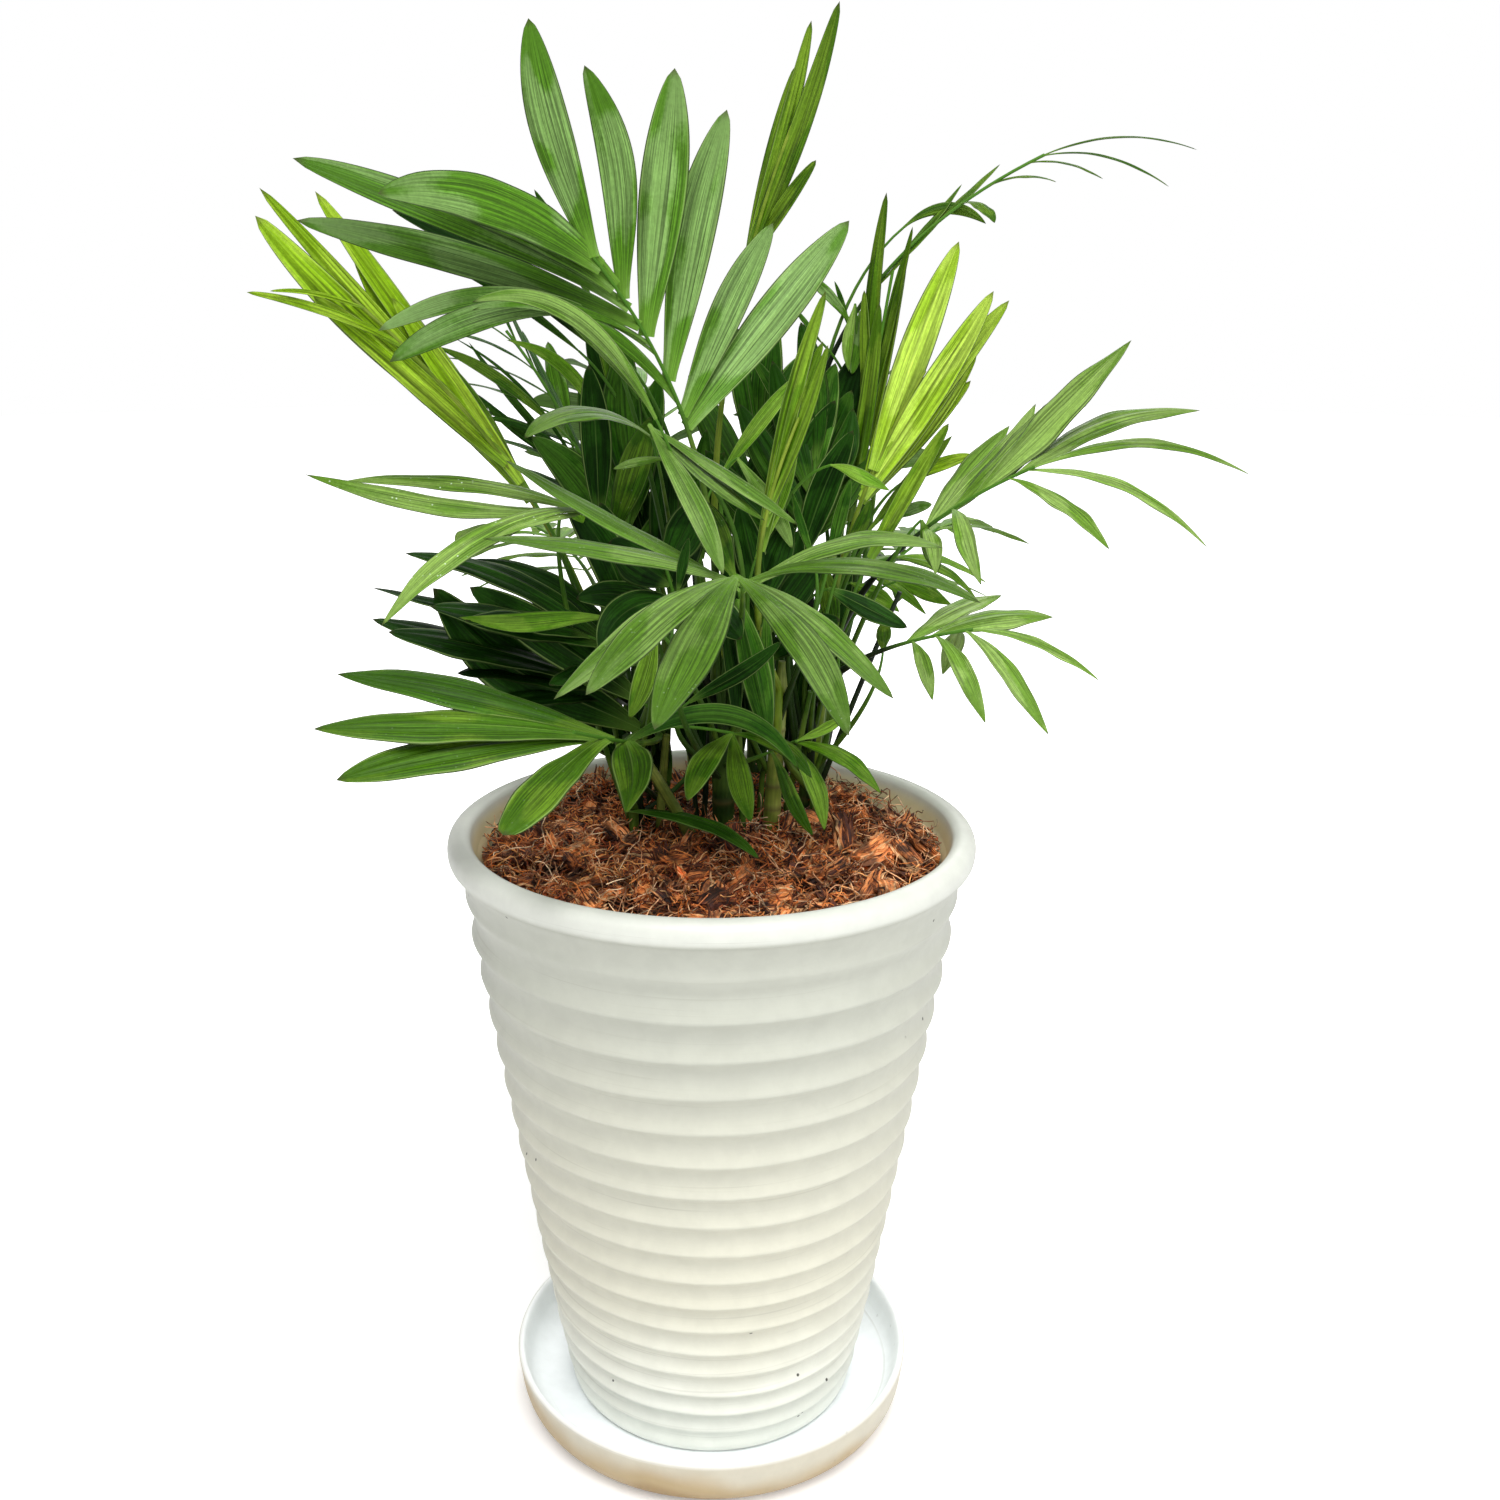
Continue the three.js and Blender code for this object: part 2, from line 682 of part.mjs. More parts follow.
// Rings of a round stick about a path, for skinned().
function stickRings(path, radii, around) {
  return path.map((point, i) => {
    const ahead = path[Math.min(i + 1, path.length - 1)];
    const behind = path[Math.max(i - 1, 0)];
    const way = ahead.clone().sub(behind).normalize();
    const side = new THREE.Vector3(0.31, -0.95, 0.02).cross(way).normalize();
    const over = way.clone().cross(side);
    return Array.from({ length: around }, (_, j) => {
      const angle = (2 * Math.PI * j) / around;
      return point.clone()
        .addScaledVector(side, radii[i] * Math.cos(angle))
        .addScaledVector(over, radii[i] * Math.sin(angle))
        .toArray();
    });
  });
}

// A cane, cut flat where it meets the mix; or with a start below 0, the room it takes in the husk.
function caneSolid([x0, y0, x1, y1, z1, r], grow = 0, start = 0) {
  const foot = new THREE.Vector3(x0, y0, MIX_Z + GAP);
  const top = new THREE.Vector3(x1, y1, z1);
  const path = [start, 0.5, 1].map((t) => foot.clone().lerp(top, t));
  const rings = stickRings(path, [0, 0.5, 1].map((t) => r * (1.1 - 0.3 * t) + grow), 7);
  if (start === 0) for (const point of rings[0]) point[2] = foot.z;
  return skinned(rings, 7);
}

// The k-th of a set's n values: one value for all, the first and the last, or one for each.
function pick(value, k, n) {
  if (!Array.isArray(value)) return value;
  if (value.length === n) return value[k];
  return n > 1 ? value[0] + ((value[1] - value[0]) * k) / (n - 1) : value[0];
}

// The spine's curve: through root, collar and tip.
function spineOf(root, collar, tip) {
  const share = root.distanceTo(collar) / (root.distanceTo(collar) + collar.distanceTo(tip));
  const pull = collar.clone()
    .addScaledVector(root, -((1 - share) ** 2))
    .addScaledVector(tip, -(share ** 2))
    .divideScalar(2 * share * (1 - share));
  const curve = new THREE.QuadraticBezierCurve3(root, pull, tip);
  return { share, at: (s) => curve.getPoint(s) };
}

const radians = (degrees) => (degrees * Math.PI) / 180;

function aimOf(heading, rise) {
  const [h, r] = [radians(heading), radians(rise)];
  return new THREE.Vector3(Math.cos(r) * Math.cos(h), Math.cos(r) * Math.sin(h), Math.sin(r));
}

// A leaflet's middle line: it sets out along its aim and bends down by its droop.
function middleLine(base, aim, long, droop) {
  const line = [base.clone()];
  for (let i = 0; i < BEND_STEPS; i += 1) {
    const step = aim.clone();
    step.z -= (droop * (i + 0.5)) / BEND_STEPS;
    line.push(line[i].clone().addScaledVector(step.normalize(), long / BEND_STEPS));
  }
  return line;
}

// Half a leaflet's width at a share of its length, widest just before its middle.
const halfWidth = (t, wide) =>
  (wide / 2) * (Math.sin(Math.PI * Math.min(t ** 1.05, 1)) ** 0.8 + 0.16 * (1 - t));

// A leaflet: a thin blade with its face turned to the frond's face.
function leaflet(base, face, size) {
  const line = middleLine(base, aimOf(size.heading, size.rise), size.long, size.droop);
  const rings = (size.long > LONG_LEAFLET ? STATIONS : FEW_STATIONS).map((i) => {
    const way = line[Math.min(i + 1, BEND_STEPS)].clone().sub(line[Math.max(i - 1, 0)]).normalize();
    const over = face.clone().addScaledVector(way, -face.dot(way)).normalize();
    const side = over.clone().cross(way);
    const t = i / BEND_STEPS;
    const half = halfWidth(t, size.wide);
    const thick = (BLADE / 2) * (1 - 0.5 * t);
    return [[half, 0], [0, thick], [-half, 0], [0, -thick]].map(([across, up]) =>
      line[i].clone().addScaledVector(side, across).addScaledVector(over, up).toArray());
  });
  return skinned(rings, 4, line[BEND_STEPS].toArray());
}

// Where the leaf stalks of one cane start: in a ring on its top end, just clear of it, in the
// order in which their collars lie around the cane.
function rootsOf(key) {
  const [, , x, y, z, r] = CANES[key];
  const turnTo = ({ collar }) => Math.atan2(collar[1] - y, collar[0] - x);
  const stalks = FRONDS.filter((frond) => frond.cane === key && !frond.root);
  if (!stalks.length) return {};
  const first = turnTo(stalks[0]);
  const turns = stalks.map((frond) => {
    const turn = turnTo(frond) - first;
    return [frond.name, Math.atan2(Math.sin(turn), Math.cos(turn))];
  }).sort((a, b) => a[1] - b[1]);
  const middle = first + turns.reduce((sum, [, turn]) => sum + turn, 0) / turns.length;
  return Object.fromEntries(turns.map(([name], k) => {
    const turn = middle + STALK_TURN * (k - (turns.length - 1) / 2);
    const reach = Math.max(r * 0.8, STALK_RING);
    return [name, new THREE.Vector3(x + reach * Math.cos(turn), y + reach * Math.sin(turn), z + SEAT)];
  }));
}

// A frond: its stalk and the leaflets along it, fused.
function frondSolid(frond, root) {
  const tip = new THREE.Vector3(...frond.tip);
  const spine = spineOf(root, new THREE.Vector3(...frond.collar), tip);
  const face = new THREE.Vector3(...frond.face).normalize();
  const shares = Array.from({ length: 8 }, (_, i) => i / 7);
  const path = shares.map((share) => spine.at(share));
  const radii = shares.map((share) => STALK_RADIUS + (STALK_END_RADIUS - STALK_RADIUS) * share);
  const parts = [skinned(stickRings(path, radii, 4), 4)];
  for (const set of frond.sets) {
    for (let k = 0; k < set.n; k += 1) {
      const share = pick(set.at, k, set.n);
      const base = spine.at(spine.share + (1 - spine.share) * share);
      const size = {};
      for (const key of ["heading", "rise", "long", "wide", "droop"]) size[key] = pick(set[key], k, set.n);
      parts.push(leaflet(base, face, size));
    }
  }
  return largest(wasm.Manifold.union(parts).asOriginal().setTolerance(FUSE_TOLERANCE));
}

const group = new THREE.Group();
group.name = "potted_parlor_palm";
group.add(meshOf(saucer(), "saucer", GLAZE));
group.add(meshOf(pot(), "pot", GLAZE));
group.add(meshOf(pottingMix(), "potting_mix", SOIL));
group.add(meshOf(husk(), "husk", HUSK));
for (const [key, cane] of Object.entries(CANES)) {
  group.add(meshOf(caneSolid(cane), `cane_${key}`, CANE_GREEN));
}
const roots = Object.assign({}, ...Object.keys(CANES).map(rootsOf));
for (const frond of FRONDS) {
  const root = frond.root ? new THREE.Vector3(...frond.root) : roots[frond.name];
  group.add(meshOf(frondSolid(frond, root), `frond_${frond.name}`, LEAF_GREEN));
}

export default group;
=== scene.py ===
"""The looks of a potted parlor palm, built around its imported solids.

A ribbed, cream-glazed pot on a saucer, coconut husk over the potting mix, short green canes, and
feather leaves whose leaflets grow by the same rule as the solids. Sizes are millimetres in the
tables and functions and become metres when a mesh is made. Colours are given from 0 to 255.
"""
import math

import bpy
import numpy as np
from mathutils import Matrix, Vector


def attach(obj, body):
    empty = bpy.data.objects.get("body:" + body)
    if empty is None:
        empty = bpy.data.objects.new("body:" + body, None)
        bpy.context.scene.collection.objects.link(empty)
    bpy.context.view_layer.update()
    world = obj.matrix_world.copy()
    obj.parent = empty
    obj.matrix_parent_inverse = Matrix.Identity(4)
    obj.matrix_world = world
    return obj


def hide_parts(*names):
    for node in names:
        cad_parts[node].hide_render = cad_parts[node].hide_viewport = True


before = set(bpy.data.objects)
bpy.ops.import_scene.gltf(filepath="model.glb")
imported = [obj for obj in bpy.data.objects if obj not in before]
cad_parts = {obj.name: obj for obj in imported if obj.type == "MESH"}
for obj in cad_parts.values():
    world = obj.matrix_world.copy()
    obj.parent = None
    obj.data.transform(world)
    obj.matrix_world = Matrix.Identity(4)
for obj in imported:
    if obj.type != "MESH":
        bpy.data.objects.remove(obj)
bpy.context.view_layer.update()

MM = 0.001
FULL_TURN = 2 * math.pi

# The pot, from its rim down, then its ribs: the top crest, the first step, how much each step
# shrinks, and the depth of the coves.
RIM_RADIUS, RIM_Z = 75.6, 186.0
LIP_RADIUS, LIP_Z = 70.6, 189.8
MOUTH_RADIUS = 67.6
BAND_Z, NECK_RADIUS = 179.5, 71.3
FOOT_RADIUS, FOOT_Z = 43.6, 7.8
FLOOR_RADIUS, FLOOR_Z = 36.5, 15.0
RIB_TOP_Z, RIB_STEP, RIB_SHRINK, RIB_DEPTH = 172.4, 12.58, 0.179, 2.475
# The steps round the pot, and those up its ribbed side.
POT_AROUND, POT_STEP = 176, 0.62

SAUCER_RADIUS, SAUCER_Z, SAUCER_FLOOR = 61.3, 18.3, 7.45
SAUCER_AROUND = 192

# The fill: the mix's top, the air over it and beside it, the husk's radius and its height at the
# middle, and the rings of its bed and the steps round them.
MIX_Z, GAP, WALL_GAP = 162.0, 0.35, 0.6
HUSK_RADIUS, HUSK_Z = 66.2, 177.6
BED_RINGS, BED_AROUND = 56, 150

# The smaller chips: how many, how far out they lie, the turn from one to the next, and the
# strands on a chip that the front view shows and on any other.
CHIPS, CHIP_REACH, GOLDEN_TURN = 190, 63, 2.39996
SHOWN_STRANDS, STRANDS = 20, 8

# Leaf stalks: radius at the root and the tip, their ring on a cane's top, the turn between two
# of them, how high they sit on it and how far below the top they clasp the cane.
STALK_RADIUS, STALK_TIP_RADIUS, STALK_AROUND = 1.45, 0.45, 12
STALK_RING, STALK_TURN, SEAT, CLASP = 2.5, 1.3, 0.4, 26.0
CANE_AROUND = 18
# A way that no stick runs in, from which the first side of its ring is taken.
ASIDE = np.array([0.31, -0.95, 0.02])

# How far a sheath reaches below and above its cane's top, and the steps round it.
SHEATH_LOW, SHEATH_HIGH, SHEATH_AROUND = -34, 8, 20

# A leaflet's cells along it and across each of its two faces, and its thickness.
ALONG, ACROSS = 30, 14
BLADE = 0.3

# Where the random draws of each kind of piece start.
CANE_SEED, LEAF_SEED, BED_SEED, CHIP_SEED = 5, 11, 17, 23

# Each cane: foot x, y, then top x, y, z, and its radius at the foot.
CANES = {
    "a": (-13, 38, -17, 30, 210, 2.4), "b": (-4, 52, -7, 50, 218, 2.2),
    "c": (4, 14, 3, 10, 222, 3.4), "d": (17, 20, 20, 15, 226, 2.6),
    "e": (27, 31, 31, 30, 218, 2.2), "f": (31, 44, 36, 48, 216, 2.0),
    "g": (-24, 44, -31, 48, 214, 2.0), "h": (13, 53, 14, 60, 218, 2.2),
    "i": (-21, 24, -24, 15, 204, 2.2), "j": (6, 36, 6, 34, 224, 2.4),
}
YELLOW_CANES = "bd"

# Each frond: name, cane, tint, the collar and the tip of its spine, the way it faces, its root
# where that isn't on its cane's top, and its sets of leaflets. A set: number, places on the
# spine, headings and rises in degrees, lengths, widths, droops, and what its shape has of its
# own. A size is one value for all, the first and the last, or one for each.
FRONDS = [
    ("top", "c", "upper", (-6, 0, 300), (-29, -24, 345), (0.1, -1, 0.35), None, [
        (6, [0.04, 0.1, 0.3, 0.55, 0.76, 1], [19, 18, 7, 355, 186, 172], [49, 63, 77, 83, 81, 75],
         [70, 55, 68, 64, 55, 56], [11, 9, 11, 12, 9, 10], 0),
        (6, [0.18, 0.5, 0.61, 0.71, 0.83, 0.94], [216, 208, 188, 194, 206, 212],
         [52, 38, 28, 37, 41, 33], [69, 76, 88, 88, 62, 60], [4, 6.8, 9, 8, 12, 12],
         [1, 1.3, 0.4, 0.5, 0.7, 0.6],
         {"peak": [1, 2.1, 1.2, 1.5, 1.1, 1.1], "foot": [0.3, 0.16, 0.35, 0.35, 0.35, 0.35]}),
        (1, 0.45, 200, 41, 77, 5.4, 1.15, {"peak": 2, "foot": 0.16})]),
    ("front_centre", "c", "front", (8, -30, 263), (6, -56, 272), (0, -0.4, 1), None, [
        (5, [0, 1], [175, 188, 227, 234, 250], [31, 23, 8, 5, -9], [69, 66, 67, 62, 59],
         [7, 8, 9, 10.4, 12], [0.1, 0.4, 0.9, 0.8, 0.6]),
        (4, [0, 1], [349, 339, 316, 297], [38, 26, -4, -12], [54, 63, 54, 59], [11, 11, 7.4, 9],
         [0.8, 0.9, 0.8, 0.6])]),
    ("front_upper", "b", "front", (-14, 2, 290), (-16, -16, 304), (0, -0.5, 1), None, [
        (2, [0.7, 1], [225, 304], [34, -42], [45, 48], [9, 6.5], [1, 0.15]),
        (2, [0.9, 0.95], [349, 352], [-35, -30], [38, 46], [5.4, 5], 0.1)]),
    ("low_left", "a", "low", (-22, -34, 224), (-34, -56, 233), (0, -0.55, 1), None, [
        (3, [0.05, 0.5, 0.42], [273, 241, 201], [0, -2, 6], [33, 46, 69], [10.5, 12, 12],
         [0.6, 0.5, 0.3],
         {"peak": [0.8, 1.7, 1.5], "foot": [0.5, 0.4, 0.25], "blunt": [0.85, 0.5, 0.7]}),
        (2, [0.3, 0.5], [184, 192], [25, 14], [72, 72], [11.5, 12.5], [0.35, 0.3],
         {"peak": 1.3})]),
    ("low_right", "i", "low", (-14, -24, 225), (6, -16, 221), (0, -0.5, 1), (-23, 12.4, 190), [
        (3, [0.98, 0.98, 1], [251, 279, 315], [1, -18, 10], [37, 34, 30], [7.4, 6.8, 6],
         [0.5, 0.35, 0.8])]),
    ("low_far_right", "e", "middle", (21.5, 5, 211), (24, -3, 215), (0, -0.3, 1),
     (31.4, 26.9, 190), [
        (3, [0.5, 1], [302, 330, 32], [-25, 10, 17], [28, 31, 19], [6, 6.6, 4], [1.6, 1.2, 0])]),
    ("left_mid", "i", "speckled", (-19, -8, 271), (-33, -22, 283), (0, -0.5, 1), None, [
        (3, [0.78, 1, 1], [171, 187, 216], [17, -6, 8], [71, 71, 65], [7, 6.6, 9],
         [0.38, -0.5, 1.15]),
        (1, 0.9, 226, 3, 33, 4, 0.3)]),
    ("left_dark", "i", "inner", (-20, 2, 235), (-36, -4, 246), (0, -0.4, 1), None, [
        (3, [0.1, 0.5, 0.9], [167, 169, 169], [43, 39, 16], [56, 67, 64], [12, 12, 8],
         [0.5, 0.6, 0.2]),
        (3, [0.2, 0.6, 0.9], [231, 196, 215], [7, 24, 28], [33, 51, 39], [13, 13, 9],
         [0.3, 0.3, 0.5])]),
    ("low_dark", "g", "inner", (-27, 16, 223), (-38, 5, 232), (0, -0.4, 1), None, [
        (2, [0.6, 1], [170, 178], [32, 21], [53, 60], [12, 11], 0.2),
        (3, [0.1, 0.5, 0.9], [206, 194, 187], [16, 18, 24], [35, 42, 56], [12, 13, 12],
         [0.4, 0.3, 0.3])]),
    ("left_spear", "g", "spear", (-50, 10, 281), (-95, 4, 335), (0.2, -1, 0.3), None, [
        (7, [0.06, 0.3, 0.1, 0.03, 0, 0.2, 0.12], [184, 183, 180, 181, 180, 182, 181],
         [50, 46, 57, 57, 59, 46, 51], [102, 82, 91, 80, 75, 76, 70], [5.4, 9, 6.4, 7, 6.4, 8, 8],
         [0, 0.05, 0.05, 0.05, 0.12, 0.04, 0.05], {"layer": -0.6}),
        (4, [0.75, 0.95, 0.18, 0.08], [190, 200, 185, 179], [34, 16, 42, 57], [43, 24, 66, 59],
         [2.6, 1.4, 7, 6], [0.5, 0.2, 0, 0.05], {"layer": 0.6})]),
    ("right_low", "e", "sunlit", (50, -6, 243), (70, -16, 250), (0, -0.3, 1), None, [
        (3, [0.27, 0.57, 0.92], [283, 294, 307], [-1, 1, -9], [22, 33, 39], [4.6, 5.6, 6],
         [1.6, 1.6, 1.2]),
        (3, [0.18, 0.51, 0.86], [32, 11, 91], [30, 24, -10], [36, 36, 32], [9, 9, 6],
         [0.5, 0.6, 1.2]),
        (1, 1, 357, -1, 38, 6, 0.8)]),
    ("right_mid", "f", "sunlit", (59, 8, 273), (86, -6, 292), (0, -0.35, 1), None, [
        (4, [0, 0.3, 0.8, 0.95], [274, 282, 322, 349], [18, 10, -4, 1], [22, 31, 35, 53],
         [5, 6, 8, 7], [1.8, 2, 1, 0.9]),
        (6, [0.02, 0.1, 0.3, 0.5, 0.85, 1], [33, 25, 17, 6, 13, 1], [42, 44, 43, 45, 28, 21],
         [40, 45, 48, 58, 56, 60], [10, 10, 11, 12, 9, 6], [0, 0, 0, 0, 0.4, 0.8])]),
    ("top_right_arch", "f", "low", (44, 42, 334), (93, 40, 373), (0, -0.2, 1), None, [
        (4, [0.62, 0.74, 0.93, 0.99], [306, 344, 338, 343], [14, 27, 10, 11], [15, 20, 22, 37],
         [5, 3, 3.4, 2.4], [1.4, 0.8, 0.8, 0.9]),
        (4, [0, 0.22, 0.39, 1], [352, 11, 10, 357], [46, 48, 41, 22], [30, 29, 30, 43],
         [3.4, 3.4, 3.4, 2.6], [0, 0, 0, 0.7])]),
    ("top_spear", "j", "spear_green", (10, 22, 344), (23, 20, 383), (0.1, -1, 0.1), None, [
        (4, [0, 0, 0.02, 0.04], [350, 357, 0, 341], [70, 75, 76, 53], [69, 63, 51, 31],
         [5.6, 4.6, 4.4, 4], 0, {"layer": -0.6})]),
    ("right_spear", "e", "spear_bright", (42, 14, 280), (58, 10, 316), (-0.1, -1, 0.2), None, [
        (5, [0.03, 0.12, 0, 0.05, 0], [345, 352, 355, 6, 0], [59, 54, 56, 47, 53],
         [65, 62, 57, 43, 51], [8, 7, 7, 6, 6], 0, {"layer": -0.8}),
        (2, [0.09, 0.24], [8, 358], 71, [57, 64], [8, 9], 0, {"layer": 0.7})]),
    ("right_upright", "f", "spear_green", (44, 36, 292), (51, 34, 342), (-0.6, -0.8, 0.1), None, [
        (4, [0, 0.3, 0.12, 0.03], [338, 355, 210, 1], [86, 78, 86, 80], [71, 48, 39, 55],
         [5, 4, 4, 5], 0, {"layer": -0.7})]),
    ("centre_spear", "d", "spear_green", (13, -9, 270), (23, -8, 305), (-0.4, -0.9, 0.1), None, [
        (3, [0, 0.2, 0.3], [10, 14, 9], [76, 72, 70], [69, 50, 46], [5.4, 4.4, 4], 0)]),
    ("left_back", "g", "deep_shade", (-35, 48, 276), (-61, 55, 325), (0.8, -0.1, 0.6), None, [
        (7, [0, 0.9], [200, 172], [25, 40], [34, 36], [4, 2.6], [0.1, 0.8]),
        (7, [0, 0.9], [110, 140], [40, 60], 36, 4, 0.2)]),
    ("right_behind", "f", "middle", (42, 56, 250), (57, 62, 256), (0, -0.3, 1), None, [
        (4, [0, 1], [300, 340], [5, 0], 30, 4.6, 0.9),
        (4, [0, 1], [70, 12], [25, 5], 34, 5.6, 0.8)]),
    ("inner_broad", "b", "deep_shade", (-25, 38, 259), (-23, 34, 278), (0, -1, 0.2), None, [
        (3, [0, 1], [180, 110], [55, 84], 46, 12, 0.1),
        (2, [0, 0.6], [350, 40], [50, 75], 44, 11, 0.1)]),
    ("inner_dark", "c", "inner", (-6, -4, 244), (-12, -14, 266), (0, -0.9, 0.4), None, [
        (2, [0.4, 1], [324, 347], [22, 65], [22, 21], [10, 11], [1.2, 0.1]),
        (3, [0.2, 0.5, 0.8], [195, 226, 208], [35, 17, 40], [32, 31, 22], [11, 10, 12],
         [0.6, 1.2, 0.2])]),
    ("centre_low", "j", "inner", (15, 11, 234), (14, 0, 254), (0, -1, 0.2), None, [
        (3, [0.1, 0.6, 1], [338, 9, 28], [39, 56, 70], [26, 28, 24], 9, [0.3, 0.1, 0.1]),
        (3, [0.1, 0.5, 0.9], [214, 182, 165], [45, 68, 77], [28, 34, 30], 9, [0.3, 0.2, 0.1])]),
    ("centre_up", "h", "deep_shade", (12, 48, 262), (15, 54, 290), (0, -1, 0.3), None, [
        (3, [0, 0.9], [165, 130], [45, 76], [48, 40], 10, 0.2),
        (4, [0, 1], [10, 60], [40, 80], [46, 38], 10, 0.2)]),
    ("centre_dark", "j", "deep_shade", (25, 22, 264), (30, 27, 292), (-0.3, -1, 0.3), None, [
        (4, [0, 0.9], [165, 120], [48, 78], 40, 9, 0.1),
        (3, [0.1, 0.8], [20, 50], [50, 74], 32, 9, 0.1)]),
    ("back_right", "h", "middle", (54, 84, 246), (78, 110, 258), (0.1, 0.2, 1), None, [
        (5, [0, 0.95], [345, 30], [12, 8], [38, 44], 9, 0.7),
        (6, [0, 1], [118, 58], [20, 10], [46, 52], 10, 0.7)]),
    ("back_middle", "h", "middle", (14, 100, 256), (12, 136, 266), (0, 0.2, 1), None, [
        (6, [0, 1], [18, 78], [22, 8], [44, 54], 11, 0.7),
        (6, [0, 0.95], [166, 106], [18, 8], [48, 58], 11, 0.7)]),
    ("back_left", "g", "middle", (-42, 94, 246), (-62, 124, 256), (-0.1, 0.2, 1), None, [
        (6, [0, 1], [55, 114], [18, 8], [44, 52], 10, 0.7),
        (5, [0, 0.95], [190, 138], [14, 8], [40, 48], 10, 0.8)]),
    ("back_high_left", "b", "upper", (-16, 76, 282), (-26, 98, 302), (0, 0.7, 0.8), None, [
        (5, [0, 1], [30, 95], [22, 30], 34, 10, 0.5),
        (5, [0, 0.92], [185, 130], [22, 30], 44, 10, 0.5)]),
    ("back_high_right", "h", "upper", (36, 80, 280), (50, 102, 300), (0, 0.7, 0.8), None, [
        (5, [0, 1], [355, 60], [22, 30], [38, 46], 10, 0.5),
        (5, [0, 0.92], [145, 85], [22, 30], 32, 10, 0.5)]),
    ("leaf_on_husk", "g", "deep_shade", (-24, 22, 188), (-25, 12, 189), (0.1, -0.3, 1),
     (-22.4, 20.5, 181), [
        (1, 1, 318, 12, 52, 6, 0.5)]),
]

